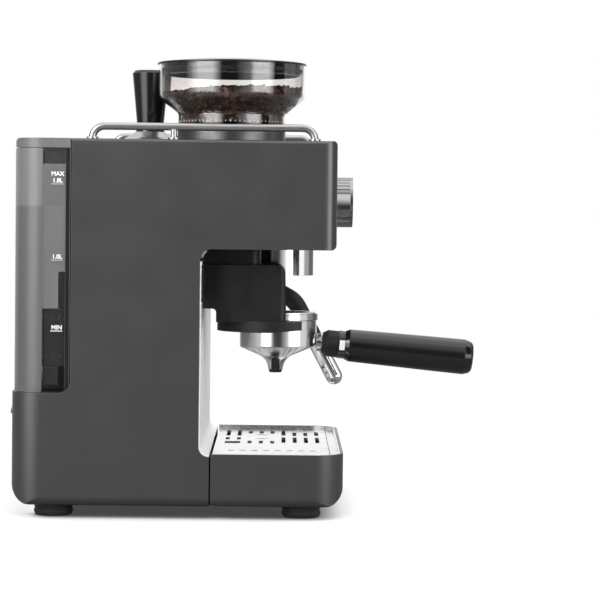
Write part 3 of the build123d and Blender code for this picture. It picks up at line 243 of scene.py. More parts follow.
def rubber(name, colour):
    look = Look(name)
    dust = look.remap(look.noise(35, 6.0), 0.5, 0.8, 0.0, 0.25)
    look.set(Base_Color=look.mix(dust, colour, (0.09, 0.09, 0.088)))
    look.set(Roughness=mottled_roughness(look, 0.68, 0.1, 90), Sheen_Weight=0.15)
    look.bump(look.noise(1100, 3.0), 0.00008, 0.7, 0.0007)
    return look.material


def facing_alpha(look, straight, grazing):
    """Cover that rises where the wall is seen edge-on, as in thick clear plastic."""
    weight = look.add("ShaderNodeLayerWeight", {"Blend": 0.35}).outputs["Facing"]
    return look.remap(weight, 0.15, 0.95, straight, grazing)


def smoked_bowl():
    """Clear, slightly warm plastic of the bean hopper, with a deep gloss."""
    look = Look("smoked_clear_plastic")
    look.set(Base_Color=mottled(look, (0.935, 0.915, 0.895), 0.01, 15), Transmission_Weight=1.0, IOR=1.5)
    look.set(Roughness=look.remap(look.noise(40, 5.0), 0.4, 0.8, 0.01, 0.04))
    look.set(Coat_Weight=0.4, Coat_Roughness=0.02, Coat_IOR=1.6)
    look.bump(look.noise(18, 2.0), 0.0001, 0.1, 0.0)
    return look.material


def above(look, place, limit):
    """1 past a limit along an axis and 0 before it, with a narrow blend between."""
    return look.remap(place, limit - EDGE_BLEND, limit + EDGE_BLEND, 0.0, 1.0)


def below(look, place, limit):
    """The opposite of above: 1 before the limit and 0 past it."""
    return look.remap(place, limit - EDGE_BLEND, limit + EDGE_BLEND, 1.0, 0.0)


def smoked_tank():
    """Grey translucent tank plastic, clearer in the side windows, and dark where the thick front wall is seen
    through its own depth. Round the rounded back corner it is lighter and less see-through: partly frosted
    plastic, partly a painted highlight where the corner catches the light."""
    look = Look("smoked_tank_plastic")
    parted = look.add("ShaderNodeSeparateXYZ", {"Vector": look.coords})
    y, z = parted.outputs["Y"], parted.outputs["Z"]
    # Painted highlight: the band round the rounded back corner is drawn lighter and more opaque, partly for
    # frosted plastic and partly for the light the corner catches.
    frosted_and_highlit = above(look, y, WINDOW_BACK)
    thick_wall = below(look, y, WINDOW_FRONT)
    wet = below(look, z, WATER_HIGH)
    clear = mottled(look, (0.19, 0.19, 0.194), 0.02, 300)
    # Tone of the corner band, painted highlight on frosted plastic: lighter above the water line, darker
    # below it.
    milky_and_highlit = look.mix(wet, mottled(look, (0.17, 0.17, 0.174), 0.02, 300), (0.12, 0.12, 0.123))
    colour = look.mix(frosted_and_highlit, clear, milky_and_highlit)
    look.set(Base_Color=look.mix(thick_wall, colour, (0.006, 0.006, 0.0062)))
    at_step = look.math("MULTIPLY", below(look, z, STEP_TOP), below(look, y, STEP_BACK))
    at_block = look.math("MAXIMUM", below(look, z, BLOCK_TOP), at_step)
    at_rim = above(look, z, RIM_LOW)
    over_dark = look.math("MULTIPLY", look.math("MAXIMUM", at_block, at_rim), 0.40)
    window = look.math("SUBTRACT", facing_alpha(look, 0.42, 0.75), over_dark)
    cover = look.math("MAXIMUM", window, look.math("MULTIPLY", frosted_and_highlit, 0.74))
    look.set(Alpha=look.math("MAXIMUM", cover, look.math("MULTIPLY", thick_wall, 0.96)))
    look.set(Roughness=mottled_roughness(look, 0.32, 0.05, 240), Coat_Weight=0.2, Coat_Roughness=0.1)
    look.bump(look.noise(900, 3.0), 0.00003, 0.4, 0.0)
    return look.material


def roasted_beans():
    """Roasted beans: every bean has its own tone, under a faint oily sheen."""
    look = Look("roasted_coffee_beans")
    tone = look.add("ShaderNodeAttribute", attribute_name="tone").outputs["Fac"]
    grain = look.math("MULTIPLY", look.noise(260, 6.0), 0.4)
    mixed = look.math("ADD", look.math("MULTIPLY", tone, 0.6), grain)
    stops = [(0.1, (0.016, 0.0062, 0.0032)), (0.5, (0.060, 0.0225, 0.0110)), (0.95, (0.125, 0.050, 0.024))]
    look.set(Base_Color=look.ramp(mixed, stops), Roughness=mottled_roughness(look, 0.42, 0.12, 300))
    look.set(Specular_IOR_Level=0.3, Coat_Weight=0.08, Coat_Roughness=0.25)
    look.bump(look.noise(700, 5.0), 0.00012, 0.7, 0.0)
    return look.material


def printed_white():
    look = Look("printed_marks")
    look.set(Base_Color=mottled(look, (0.82, 0.82, 0.80), 0.05, 300))
    look.set(Roughness=mottled_roughness(look, 0.5, 0.08, 200))
    return look.material


def water_look():
    """Still water behind frosted walls: a pale, even grey that hides what stands behind it."""
    look = Look("tank_water")
    look.set(Base_Color=mottled(look, (0.33, 0.33, 0.335), 0.03, 200), Alpha=0.90)
    look.set(Roughness=look.remap(look.noise(30, 2.0), 0.4, 0.6, 0.04, 0.10))
    return look.material


def gear_plastic():
    look = Look("acetal_gears")
    look.set(Base_Color=mottled(look, (0.72, 0.69, 0.62), 0.06, 40), Subsurface_Weight=0.1)
    look.set(Roughness=mottled_roughness(look, 0.35, 0.08, 120))
    look.bump(look.noise(500, 3.0), 0.00003, 0.4, 0.0003)
    return look.material


def circuit_board():
    """Green lacquer with copper-coloured traces."""
    look = Look("circuit_board")
    inputs = {"Vector": look.coords, "Scale": 160.0}
    cells = look.add("ShaderNodeTexVoronoi", inputs, feature="DISTANCE_TO_EDGE")
    trace = look.remap(cells.outputs["Distance"], 0.02, 0.05, 1.0, 0.0)
    look.set(Base_Color=look.mix(trace, mottled(look, (0.02, 0.13, 0.05), 0.2, 60), (0.35, 0.28, 0.06)))
    look.set(Roughness=mottled_roughness(look, 0.35, 0.1, 80), Coat_Weight=0.4)
    look.bump(cells.outputs["Distance"], 0.0001, 0.4, 0.0003)
    return look.material


def cast_metal():
    look = Look("cast_aluminium")
    look.set(Base_Color=mottled(look, (0.55, 0.55, 0.56), 0.1, 60), Metallic=1.0)
    look.set(Roughness=mottled_roughness(look, 0.5, 0.1, 120))
    look.bump(look.noise(600, 5.0), 0.0002, 0.7, 0.0005)
    return look.material


def silicone():
    look = Look("silicone_hose")
    look.set(Base_Color=mottled(look, (0.66, 0.65, 0.62), 0.06, 50), Subsurface_Weight=0.2)
    look.set(Roughness=mottled_roughness(look, 0.45, 0.08, 90))
    look.bump(look.noise(300, 3.0), 0.00005, 0.4, 0.0)
    return look.material


def white_floor():
    """White where it is seen directly, apart from a soft contact shadow, and grey in what it throws back."""
    look = Look("studio_floor")
    openness = look.add("ShaderNodeAmbientOcclusion", {"Distance": 0.08}, samples=16).outputs["AO"]
    lit = look.remap(openness, 0.10, 0.66, 0.06, 1.05)
    seen = look.add("ShaderNodeLightPath").outputs["Is Camera Ray"]
    look.set(Base_Color=look.mix(seen, (0.22, 0.22, 0.22), (0.0, 0.0, 0.0)))
    look.set(Roughness=0.8, Specular_IOR_Level=0.0)
    look.set(Emission_Color=(1.0, 1.0, 1.0, 1.0), Emission_Strength=look.math("MULTIPLY", seen, lit))
    return look.material


PAINT = satin_paint()
CHROME = polished("polished_chrome", (0.80, 0.80, 0.80), 0.05, 0.10)
DIAL_METAL = polished("satin_dial_metal", (0.27, 0.27, 0.275), 0.20, 0.08)
MIRROR_STEEL = polished("polished_steel_sheet", (0.86, 0.86, 0.855), 0.22, 0.12)
CUP_STEEL = polished("satin_chrome", (0.52, 0.52, 0.52), 0.15, 0.06)
BRIGHT_STEEL = brushed("bright_brushed_steel", (0.93, 0.93, 0.925), 0.46, (1, 1, 0.04), metallic=0.5)
SATIN_TUBE = brushed("satin_tube", (0.37, 0.37, 0.37), 0.32, (1, 0.05, 1))
SATIN_STEEL = brushed("turned_steel", (0.42, 0.42, 0.42), 0.30, (0.1, 0.1, 1))
FRAME_STEEL = brushed("zinc_sheet", (0.45, 0.45, 0.45), 0.42, (1, 0.1, 1))
BURR_STEEL = brushed("burr_steel", (0.32, 0.32, 0.33), 0.32, (0.3, 0.3, 1))
COLLAR_METAL = brushed("dark_turned_metal", (0.17, 0.17, 0.175), 0.34, (0.05, 0.05, 1))
BLACK_PLASTIC = textured_plastic("black_grained_plastic", (0.008, 0.008, 0.0083), 0.46)
DOCK_PLASTIC = textured_plastic("dark_moulded_plastic", (0.022, 0.022, 0.023), 0.58, 900.0)
LID_PLASTIC = textured_plastic("smoked_lid_plastic", (0.018, 0.017, 0.0165), 0.22, 800.0, 0.00002, 0.5)
TANK_LID_PLASTIC = textured_plastic("smoked_tank_lid_plastic", (0.13, 0.13, 0.132), 0.30, 800.0, 0.00002, 0.4)
GLOSS_BLACK = gloss_plastic("gloss_black", (0.008, 0.008, 0.0085))
RED_GLOSS = gloss_plastic("float_red", (0.55, 0.02, 0.02))
RUBBER = rubber("black_rubber", (0.012, 0.012, 0.012))
TANK_PLASTIC = smoked_tank()
BOWL_PLASTIC = smoked_bowl()
BEANS = roasted_beans()
PRINT = printed_white()
WATER = water_look()
GEARS = gear_plastic()
BOARD = circuit_board()
CAST = cast_metal()
HOSE = silicone()

NODE_LOOKS = {
    PAINT: [
        "left_side_panel",
        "right_side_panel",
        "head_front_panel",
        "top_cover",
        "rear_cover",
        "tray_front",
    ],
    CHROME: ["group_head", "wand_tube", "wand_socket"],
    DIAL_METAL: ["main_dial", "grind_knob"],
    BRIGHT_STEEL: ["splash_wall"],
    CUP_STEEL: ["portafilter_body"],
    MIRROR_STEEL: ["drip_grate", "drip_tray", "filter_basket", "shower_screen"],
    SATIN_TUBE: ["cup_rails"],
    SATIN_STEEL: ["case_screws", "tamper_base"],
    FRAME_STEEL: ["inner_frame", "burr_bearings", "grinder_motor", "solenoid_valve"],
    BURR_STEEL: ["ring_burr", "cone_burr", "burr_shaft"],
    COLLAR_METAL: ["adjust_collar"],
    BLACK_PLASTIC: [
        "cradle",
        "head_underside",
        "spout_insert",
        "handle_collar",
        "cable_gland",
        "dose_plunger",
        "tank_valve",
        "wand_grip",
    ],
    DOCK_PLASTIC: ["tank_dock", "base_pan", "grounds_chute", "pump"],
    LID_PLASTIC: ["hopper_lid"],
    TANK_LID_PLASTIC: ["tank_lid"],
    GLOSS_BLACK: ["tamper_handle", "handle_ferrule", "handle_grip", "power_button", "brew_button"],
    RED_GLOSS: ["tray_float"],
    RUBBER: ["feet", "group_gasket"],
    TANK_PLASTIC: ["water_tank"],
    BOWL_PLASTIC: ["hopper"],
    BEANS: ["coffee_beans"],
    GEARS: ["main_gear", "idler_gear", "motor_pinion"],
    BOARD: ["control_board"],
    CAST: ["burr_housing", "boiler"],
    HOSE: ["hoses"],
}


def dress_nodes():
    """Gives every CAD node its material."""
    for material, names in NODE_LOOKS.items():
        for name in names:
            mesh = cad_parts[name].data
            mesh.materials.clear()
            mesh.materials.append(material)


# ---- mesh helpers ----
def mesh_object(name, bm, material, smooth=True):
    mesh = bpy.data.meshes.new(name)
    bmesh.ops.recalc_face_normals(bm, faces=bm.faces)
    bm.to_mesh(mesh)
    bm.free()
    for polygon in mesh.polygons:
        polygon.use_smooth = smooth
    mesh.materials.append(material)
    obj = bpy.data.objects.new(name, mesh)
    bpy.context.scene.collection.objects.link(obj)
    return obj


def piece(name, bm, material, body, smooth=True, soften=0.0):
    obj = mesh_object(name, bm, material, smooth)
    if soften:
        bevel = obj.modifiers.new("soften", "BEVEL")
        bevel.width = soften
        bevel.segments = 2
        bevel.limit_method = "ANGLE"
    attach(obj, body)
    return obj


def add_lathe(bm, outline, centre, segments=96):
    """Adds a closed outline of (radius, z) turned about the upright line through centre."""
    rings = []
    for r, z in outline:
        ring = []
        for step in range(segments):
            angle = 2 * math.pi * step / segments
            ring.append(bm.verts.new((centre.x + r * math.cos(angle), centre.y + r * math.sin(angle), z)))
        rings.append(ring)
    for index, ring in enumerate(rings):
        following = rings[(index + 1) % len(rings)]
        for step in range(segments):
            after = (step + 1) % segments
            bm.faces.new((ring[step], ring[after], following[after], following[step]))


def add_block(bm, low, high, turn=None, about=None):
    """Adds a box between two corners, turned about a point where asked."""
    made = bmesh.ops.create_cube(bm, size=1.0)["verts"]
    low, high = Vector(low), Vector(high)
    size = high - low
    middle = (low + high) / 2
    for vert in made:
        vert.co = Vector(vert.co[i] * size[i] + middle[i] for i in range(3))
    if turn is not None:
        bmesh.ops.rotate(bm, verts=made, cent=about, matrix=turn)


# ---- coffee beans ----
def add_bean(bm, tone_layer, place, turn, size, tone):
    """One bean: a domed back, a flatter face and the crease along it."""
    rows, columns = 6, 10
    length, width, height = 4.7 * MM * size, 3.4 * MM * size, 2.5 * MM * size
    verts = []
    for row in range(1, rows):
        polar = math.pi * row / rows
        for column in range(columns):
            around = 2 * math.pi * column / columns
            u = math.cos(polar)
            v = math.sin(polar) * math.cos(around)
            w = math.sin(polar) * math.sin(around)
            z = height * w if w > 0 else 0.55 * height * w
            if w < 0:
                z += 0.42 * height * math.exp(-((v / 0.25) ** 2))
            verts.append(bm.verts.new(place + turn @ Vector((length * u, width * v, z))))
    ends = [bm.verts.new(place + turn @ Vector((sign * length, 0, 0))) for sign in (1, -1)]
    faces = []
    for row in range(rows - 2):
        for column in range(columns):
            after = (column + 1) % columns
            a, b = row * columns + column, row * columns + after
            faces.append(bm.faces.new((verts[a], verts[b], verts[b + columns], verts[a + columns])))
    last = (rows - 2) * columns
    for column in range(columns):
        after = (column + 1) % columns
        faces.append(bm.faces.new((ends[0], verts[after], verts[column])))
        faces.append(bm.faces.new((ends[1], verts[last + column], verts[last + after])))
    for vert in verts + ends:
        vert[tone_layer] = tone


def bowl_radius(z):
    """Radius that the beans may fill at a height, inside the bowl's neck, cone and wall."""
    up_cone = (z - BOWL_NECK_TOP) / (BOWL_CONE_TOP - BOWL_NECK_TOP)
    return BOWL_NECK_R + (BOWL_WALL_R - BOWL_NECK_R) * min(1.0, max(0.0, up_cone))


def heap_height(x, y):
    """Top of the heap: low at the back edge, higher to the front, with slow lumps."""
    crown = 5 * MM * (x * x + y * y) / (60 * MM) ** 2
    slope = 0.045 * y
    lump = 0.8 * MM * math.sin(x * 130 + 1.3) * math.cos(y * 110)
    return HEAP_TOP - crown - slope + lump


def coffee_heap():
    """Loose beans against the bowl and over the top of the heap, around a dark core."""
    rng = random.Random(11)
    bm = bmesh.new()
    tone_layer = bm.verts.layers.float.new("tone")
    centre = Vector((HOPPER.x, HOPPER.y, 0))

    def scatter(x, y, z, normal):
        lean = normal.to_track_quat("Z", "Y").to_matrix()
        roll = Matrix.Rotation(rng.uniform(0, 2 * math.pi), 3, "Z")
        flip = Matrix.Rotation(rng.choice((0, math.pi)) + rng.gauss(0, 0.45), 3, "X")
        wobble = Matrix.Rotation(rng.gauss(0, 0.4), 3, "Y")
        place = centre + Vector((x, y, z))
        add_bean(bm, tone_layer, place, lean @ roll @ flip @ wobble, rng.uniform(0.86, 1.08), rng.random())

    for row in range(HEAP_ROWS):
        z = HEAP_LOW + row * BEAN_PITCH
        for depth in (0.0, BEAN_PITCH):
            radius = bowl_radius(z) - BEAN_HALF + 0.5 * MM - depth
            count = int(2 * math.pi * radius / (6.3 * MM))
            for step in range(count):
                angle = 2 * math.pi * (step + rng.uniform(-0.3, 0.3)) / count
                x, y = radius * math.cos(angle), radius * math.sin(angle)
                level = z + rng.uniform(-1.6, 1.6) * MM
                if level < heap_height(x, y):
                    scatter(x, y, level, Vector((math.cos(angle), math.sin(angle), -0.2)))
    spacing = 5.4 * MM
    steps = math.ceil(HEAP_R / spacing)
    for i in range(-steps, steps + 1):
        for j in range(-steps, steps + 1):
            x = (i + 0.5 * (j % 2) + rng.uniform(-0.3, 0.3)) * spacing
            y = (j * 0.87 + rng.uniform(-0.3, 0.3)) * spacing
            if math.hypot(x, y) < HEAP_R:
                for sink in (1.5 * MM, 5.0 * MM):
                    level = heap_height(x, y) - sink + rng.uniform(-1.2, 0.8) * MM
                    scatter(x, y, level, Vector((x * 4, y * 4, 1)))
    core = [(0.5, 340), (38, 340), (38, 356), (52, 371), (50, 373), (0.5, 376)]
    add_lathe(bm, [(r * MM, z * MM) for r, z in core], centre, 48)
    heap = piece("bean_heap", bm, BEANS, "bean_hopper")
    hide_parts("coffee_beans")


# ---- hopper details ----
def grind_marks():
    """Ring of fine dots round the neck, for the grind setting."""
    bm = bmesh.new()
    for step in range(72):
        angle = 2 * math.pi * step / 72
        tall = 1.5 if step % 6 == 0 else 0.8
        turn = Matrix.Rotation(angle, 3, "Z")
        middle = Vector((HOPPER.x, HOPPER.y, GRIND_MARK_Z))
        low = middle + Vector((GRIND_MARK_R - 0.05 * MM, -0.35 * MM, -tall * MM / 2))
        high = middle + Vector((GRIND_MARK_R + 0.08 * MM, 0.35 * MM, tall * MM / 2))
        add_block(bm, low, high, turn, middle)
    piece("grind_marks", bm, PRINT, "bean_hopper", smooth=False)


def lid_seal():
    """Rubber seal round the skirt of the hopper's lid."""
    bm = bmesh.new()
    outline = []
    for step in range(10):
        angle = 2 * math.pi * step / 10
        outline.append((SEAL_R + 0.85 * MM * math.cos(angle), SEAL_Z + 1.6 * MM * math.sin(angle)))
    add_lathe(bm, outline, HOPPER)
    piece("lid_seal", bm, RUBBER, "lid_of_hopper")


# ---- tank details ----
def tank_water():
    """The water in the tank, up to its present level."""
    bm = bmesh.new()
    inset = 3.2 * MM
    side_inset = 4.4 * MM
    low = TANK_LOW + Vector((side_inset, inset, 0))
    high = TANK_HIGH - Vector((side_inset, inset, 0))
    add_block(bm, (low.x, low.y, WATER_LOW), (high.x, high.y, WATER_HIGH))
    upright = [e for e in bm.edges if abs(e.verts[0].co.z - e.verts[1].co.z) > 0.05]
    rear = [e for e in upright if e.verts[0].co.y > high.y - MM]
    bmesh.ops.bevel(bm, geom=rear, offset=22 * MM, segments=12, affect="EDGES", profile=0.5)
    piece("tank_water", bm, WATER, "tank", smooth=False)


def filter_block():
    """Black filter holder that stands in the tank against its front wall, and the floor under it."""
    bm = bmesh.new()
    front, half = TANK_LOW.y + 3.2 * MM, TANK_HIGH.x - 3.1 * MM
    block_depth, rib_width, rib_height, rib_pitch, rib_row_pitch = 21 * MM, 3.2 * MM, 5 * MM, 6 * MM, 34 * MM
    floor_front, floor_back, floor_low = front + 7 * MM, TANK_HIGH.y - 27 * MM, TANK_LOW.z + 11 * MM
    add_block(bm, (-half, front, WATER_LOW - MM), (half, front + block_depth, BLOCK_TOP))
    add_block(bm, (-half, front, BLOCK_TOP), (half, STEP_BACK, STEP_TOP))
    add_block(bm, (-half, floor_front, floor_low), (half, floor_back, WATER_LOW - 0.5 * MM))
    for side in (-1, 1):
        for row in range(2):
            for column in range(3):
                y = front + 4 * MM + column * rib_pitch
                z = 172 * MM - row * rib_row_pitch
                x0, x1 = sorted((side * (half - 2 * MM), side * (half + 0.35 * MM)))
                add_block(bm, (x0, y, z), (x1, y + rib_width, z + rib_height))
    piece("tank_filter_block", bm, BLACK_PLASTIC, "tank", smooth=False, soften=1.2 * MM)


def tank_rim():
    """Dark frame inside the tank's mouth."""
    bm = bmesh.new()
    inset, reach, thick = 2.8 * MM, 22 * MM, 1.2 * MM
    x0, x1 = TANK_LOW.x + inset, TANK_HIGH.x - inset
    y0 = TANK_LOW.y + inset
    for low, high in (
        ((x0, y0, RIM_LOW), (x0 + thick, y0 + reach, RIM_HIGH)),
        ((x1 - thick, y0, RIM_LOW), (x1, y0 + reach, RIM_HIGH)),
        ((x0, y0, RIM_LOW), (x1, y0 + thick, RIM_HIGH)),
    ):
        add_block(bm, low, high)
    piece("tank_rim", bm, DOCK_PLASTIC, "tank", smooth=False)


def tank_marks():
    """Level lines on both side windows."""
    bm = bmesh.new()
    depth, length, half_tall = 0.12 * MM, 10.5 * MM, 0.45 * MM
    y = TANK_LOW.y + 6.5 * MM
    for side, outside in ((-1, TANK_LOW.x), (1, TANK_HIGH.x)):
        x0, x1 = sorted((outside, outside - side * depth))
        for z in (291 * MM, 225 * MM, 163.5 * MM):
            add_block(bm, (x0, y, z - half_tall), (x1, y + length, z + half_tall))
    piece("tank_marks", bm, PRINT, "tank", smooth=False)


def tank_numbers():
    """Litre figures and the words for the highest and lowest level, above their lines."""
    labels = {
        "most": ("MAX", 298.2),
        "litres_1_8": ("1.8L", 292.4),
        "litre": ("1.0L", 226.4),
        "least": ("MIN", 164.9),
    }
    for side, side_name in ((-1, "left"), (1, "right")):
        x = (TANK_LOW.x - 0.02 * MM) if side < 0 else (TANK_HIGH.x + 0.02 * MM)
        for name, (label, z) in labels.items():
            curve = bpy.data.curves.new(f"tank_{name}_{side_name}", "FONT")
            curve.body = label
            curve.size = 5.2 * MM
            curve.align_x = "CENTER"
            curve.offset = 0.12 * MM
            curve.extrude = 0.06 * MM
            curve.materials.append(PRINT)
            text = bpy.data.objects.new(curve.name, curve)
            text.location = (x, TANK_LOW.y + 11.5 * MM, z * MM)
            text.rotation_euler = Euler((math.pi / 2, 0, side * math.pi / 2))
            bpy.context.scene.collection.objects.link(text)
            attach(text, "tank")


# ---- cradle, grate and controls ----
def cradle_ribs():
    """Small stiffening ribs where the cradle's block meets its fork."""
    bm = bmesh.new()
    back = high_of("cradle").y
    fork_top, half_block, root = 172.2 * MM, 42 * MM, 0.5 * MM
    half_thick, height = 0.6 * MM, 9 * MM
    for side in (-1, 1):
        x = PORTAFILTER.x + side * half_block
        for from_back, reach in ((14, 3), (22, 3), (33, 2.2), (36, 2.2)):
            y = back - from_back * MM
            x0, x1 = sorted((x - side * root, x + side * reach * MM))
            add_block(bm, (x0, y - half_thick, fork_top), (x1, y + half_thick, fork_top + height))
    piece("cradle_ribs", bm, BLACK_PLASTIC, "machine", smooth=False)


def cradle_flange_and_shade():
    """Black strip on the splash wall between the grinder cradle and the side panel: partly the cradle's
    flange closing the gap, partly painted shade for the shadow and dark reflection that the cradle throws on
    the wall there.
    """
    near, far = BODY_LOW.x + 2.2 * MM, low_of("cradle").x + 6 * MM
    front, back = high_of("cradle").y - 1.6 * MM, high_of("cradle").y + 0.1 * MM
    bottom, top = 190 * MM, high_of("cradle").z - 14 * MM
    bm = bmesh.new()
    # Painted shade: a dark strip where the cradle shades the steel wall, standing in part for the cradle's
    # flange.
    add_block(bm, (near, front, bottom), (far, back, top))
    piece("cradle_flange_and_shade", bm, BLACK_PLASTIC, "machine", smooth=False, soften=0.4 * MM)


def handle_inlays():
    """Bright metal inlays on both sides of the ring between the handle's collar and its grip."""
    ring_r, half_wide, half_tall = 12.6 * MM, 2.4 * MM, 4.4 * MM
    middle = centre_of("handle_ferrule")
    middle.y = low_of("handle_collar").y - 2.6 * MM
    middle.z = high_of("handle_ferrule").z - ring_r - 0.25 * MM
    tilt = Matrix.Rotation(math.radians(5.1), 3, "X")
    bm = bmesh.new()
    for side in (-1, 1):
        x0, x1 = sorted((middle.x + side * (ring_r - 1.5 * MM), middle.x + side * (ring_r + 0.35 * MM)))
        low = (x0, middle.y - half_wide, middle.z - half_tall)
        high = (x1, middle.y + half_wide, middle.z + half_tall)
        add_block(bm, low, high, tilt, middle)
    piece("handle_inlays", bm, BRIGHT_STEEL, "portafilter", smooth=False, soften=0.3 * MM)


def dial_marks():
    """Printed ticks and dots round the dial and the small knob."""
    bm = bmesh.new()
    panel_y = low_of("head_front_panel").y
    half_wide, proud, sunk = 0.35 * MM, 0.08 * MM, 0.05 * MM
    scales = (("main_dial", 28.5, -75, 75, 11), ("grind_knob", 17, -140, 140, 13))
    for node, radius, first, last, count in scales:
        centre = centre_of(node)
        for step in range(count):
            angle = math.radians(first + (last - first) * step / (count - 1))
            x = centre.x + radius * MM * math.sin(angle)
            z = centre.z + radius * MM * math.cos(angle)
            half_long = (1.6 if step % 5 == 0 else 0.8) * MM
            turn = Matrix.Rotation(angle, 3, "Y")
            low = (x - half_wide, panel_y - proud, z - half_long)
            high = (x + half_wide, panel_y + sunk, z + half_long)
            add_block(bm, low, high, turn, Vector((x, panel_y, z)))
    piece("dial_marks", bm, PRINT, "machine", smooth=False)


def button_rings():
    """Chromed rings round the push buttons."""
    panel_y = low_of("head_front_panel").y
    for node in ("power_button", "brew_button"):
        centre = centre_of(node)
        bm = bmesh.new()
        rings = []
        for step in range(48):
            angle = 2 * math.pi * step / 48
            ring = []
            for r, y in ((7.6, 0.0), (7.6, -0.7), (8.0, -1.0), (9.2, -0.8), (9.6, 0.0)):
                x = centre.x + r * MM * math.cos(angle)
                ring.append(bm.verts.new((x, panel_y + y * MM, centre.z + r * MM * math.sin(angle))))
            rings.append(ring)
        for step, ring in enumerate(rings):
            after = rings[(step + 1) % len(rings)]
            for k in range(len(ring)):
                following = (k + 1) % len(ring)
                bm.faces.new((ring[k], ring[following], after[following], after[k]))
        piece(f"{node}_ring", bm, CHROME, "machine")


# ---- studio ----
FLOOR_HALF = 1.1


def studio_floor():
    bm = bmesh.new()
    bmesh.ops.create_grid(bm, x_segments=1, y_segments=1, size=FLOOR_HALF)
    floor = mesh_object("studio_floor", bm, white_floor(), smooth=False)


def soft_light(name, place, aim, size, power):
    data = bpy.data.lights.new(name, "AREA")
    data.shape = "RECTANGLE"
    data.size, data.size_y = size
    data.energy = power
    light = bpy.data.objects.new(name, data)
    light.location = place
    light.rotation_euler = (Vector(aim) - Vector(place)).to_track_quat("-Z", "Y").to_euler()
    bpy.context.scene.collection.objects.link(light)


# What polished metal sees round the room, as (degrees, brightness) from the camera's side: the white sheets
# and the black gaps between them. The angle grows towards the machine's front and falls towards its back.
ROOM_BANDS = [
    (-180, 1.05),
    (-150, 1.05),
    (-140, 0.20),
    (-76, 0.20),
    (-66, 1.30),
    (-52, 4.20),
    (-30, 4.20),
    (-20, 1.20),
    (-15, 0.06),
    (8, 0.06),
    (13, 0.30),
    (30, 1.00),
    (38, 4.20),
    (60, 4.20),
    (70, 1.20),
    (92, 1.20),
    (98, 0.42),
    (116, 0.42),
    (122, 0.16),
    (150, 0.16),
    (158, 1.05),
    (180, 1.05),
]
ROOM_PEAK = 4.5
CEILING = 1.25


def studio_room():
    """White when seen directly; reflections and light come from the banded room and its bright ceiling."""
    world = bpy.data.worlds.new("studio")
    bpy.context.scene.world = world
    world.use_nodes = True
    tree = world.node_tree

    def add(kind, inputs, **settings):
        node = tree.nodes.new(kind)
        for key, value in settings.items():
            setattr(node, key, value)
        for key, value in inputs.items():
            if isinstance(value, bpy.types.NodeSocket):
                tree.links.new(value, node.inputs[key])
            else:
                node.inputs[key].default_value = value
        return node.outputs

    direction = tree.nodes.new("ShaderNodeTexCoord").outputs["Generated"]
    x, y, z = add("ShaderNodeSeparateXYZ", {"Vector": direction})
    back_to_front = add("ShaderNodeMath", {0: y, 1: -1.0}, operation="MULTIPLY")[0]
    towards_camera = add("ShaderNodeMath", {0: x, 1: -1.0}, operation="MULTIPLY")[0]
    angle = add("ShaderNodeMath", {0: back_to_front, 1: towards_camera}, operation="ARCTAN2")[0]
    half_turn = math.pi
    ranges = {"Value": angle, "From Min": -half_turn, "From Max": half_turn, "To Min": 0.0, "To Max": 1.0}
    place = add("ShaderNodeMapRange", ranges)[0]
    bands = tree.nodes.new("ShaderNodeValToRGB")
    tree.links.new(place, bands.inputs["Fac"])
    stops = [((degrees + 180) / 360, (level / ROOM_PEAK,) * 3) for degrees, level in ROOM_BANDS]
    fill_ramp(bands.color_ramp, stops)
    height = add("ShaderNodeMapRange", {"Value": z, "From Min": 0.35, "From Max": 0.75})[0]
    overhead = (*(CEILING / ROOM_PEAK,) * 3, 1)
    room = add("ShaderNodeMix", {0: height, 6: bands.outputs["Color"], 7: overhead}, data_type="RGBA")[2]
    seen = add("ShaderNodeLightPath", {})["Is Camera Ray"]
    plain = (*(1 / ROOM_PEAK,) * 3, 1)
    shown = add("ShaderNodeMix", {0: seen, 6: room, 7: plain}, data_type="RGBA")[2]
    background = tree.nodes["Background"]
    tree.links.new(shown, background.inputs["Color"])
    background.inputs["Strength"].default_value = ROOM_PEAK


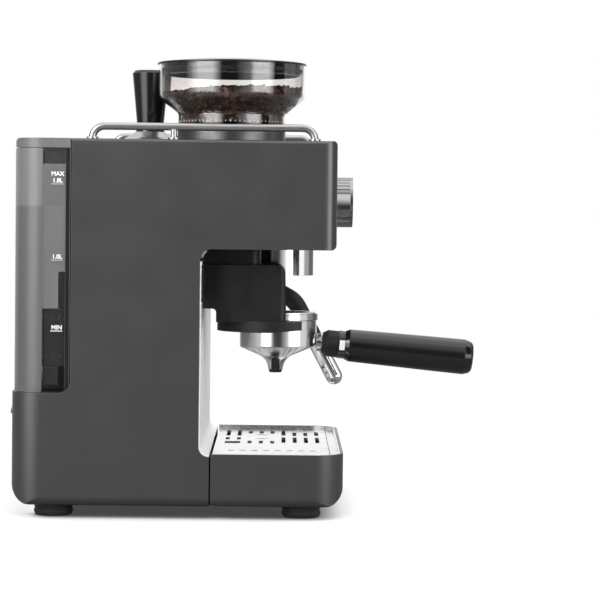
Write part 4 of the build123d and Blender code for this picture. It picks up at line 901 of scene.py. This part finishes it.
def studio():
    studio_room()
    studio_floor()
    group_card()
    soft_light("top_light", (0.1, -0.3, 2.2), (0, 0, 0.2), (2.4, 2.4), 16)
    soft_light("side_light", (-0.55, 0.60, 0.66), (BODY_LOW.x, 0.1, 0.28), (0.4, 0.4), 4)


def group_card():
    """Black strip level with the brew head, out of the camera's sight, for the dark band in its chrome."""
    bearing, distance = math.radians(60), 0.38
    half_width, half_thick, foot, height = 0.075, 0.001, 0.195, 0.25
    away = Vector((-math.cos(bearing), -math.sin(bearing), 0))
    look = Look("black_card")
    look.set(Base_Color=mottled(look, (0.01, 0.01, 0.01), 0.05, 5), Roughness=0.9)
    bm = bmesh.new()
    add_block(bm, (-half_width, -half_thick, 0), (half_width, half_thick, height))
    card = mesh_object("group_card", bm, look.material, smooth=False)
    card.location = centre_of("group_head") + distance * away
    card.location.z = foot
    card.rotation_euler = (0, 0, bearing - math.pi / 2)
    card.visible_camera = False
    card.visible_shadow = False


def photo_camera():
    """A long lens level with the machine's head, looking at its left side."""
    yaw, pitch, roll = 0.0085, -0.0372, 0.0115
    sensor, lens = 36.0, 137.66
    distance = 1.9911
    place = Vector((BODY_LOW.x - distance, -0.0311, 0.2669))
    forward, right, up = Vector((1, 0, 0)), Vector((0, -1, 0)), Vector((0, 0, 1))
    ahead = math.cos(yaw) * forward + math.sin(yaw) * right
    side = -math.sin(yaw) * forward + math.cos(yaw) * right
    aim = math.cos(pitch) * ahead + math.sin(pitch) * up
    top = -math.sin(pitch) * ahead + math.cos(pitch) * up
    side, top = math.cos(roll) * side + math.sin(roll) * top, -math.sin(roll) * side + math.cos(roll) * top
    data = bpy.data.cameras.new("photo_camera")
    data.lens = lens
    data.sensor_width = sensor
    camera = bpy.data.objects.new("photo_camera", data)
    turn = Matrix((side, top, -aim)).transposed().to_4x4()
    camera.matrix_world = Matrix.Translation(place) @ turn
    bpy.context.scene.collection.objects.link(camera)
    bpy.context.scene.camera = camera


photo_camera()
dress_nodes()
coffee_heap()
grind_marks()
lid_seal()
tank_water()
filter_block()
tank_rim()
tank_marks()
tank_numbers()
cradle_ribs()
cradle_flange_and_shade()
handle_inlays()
dial_marks()
button_rings()
studio()
bpy.context.scene.view_settings.view_transform = "Standard"
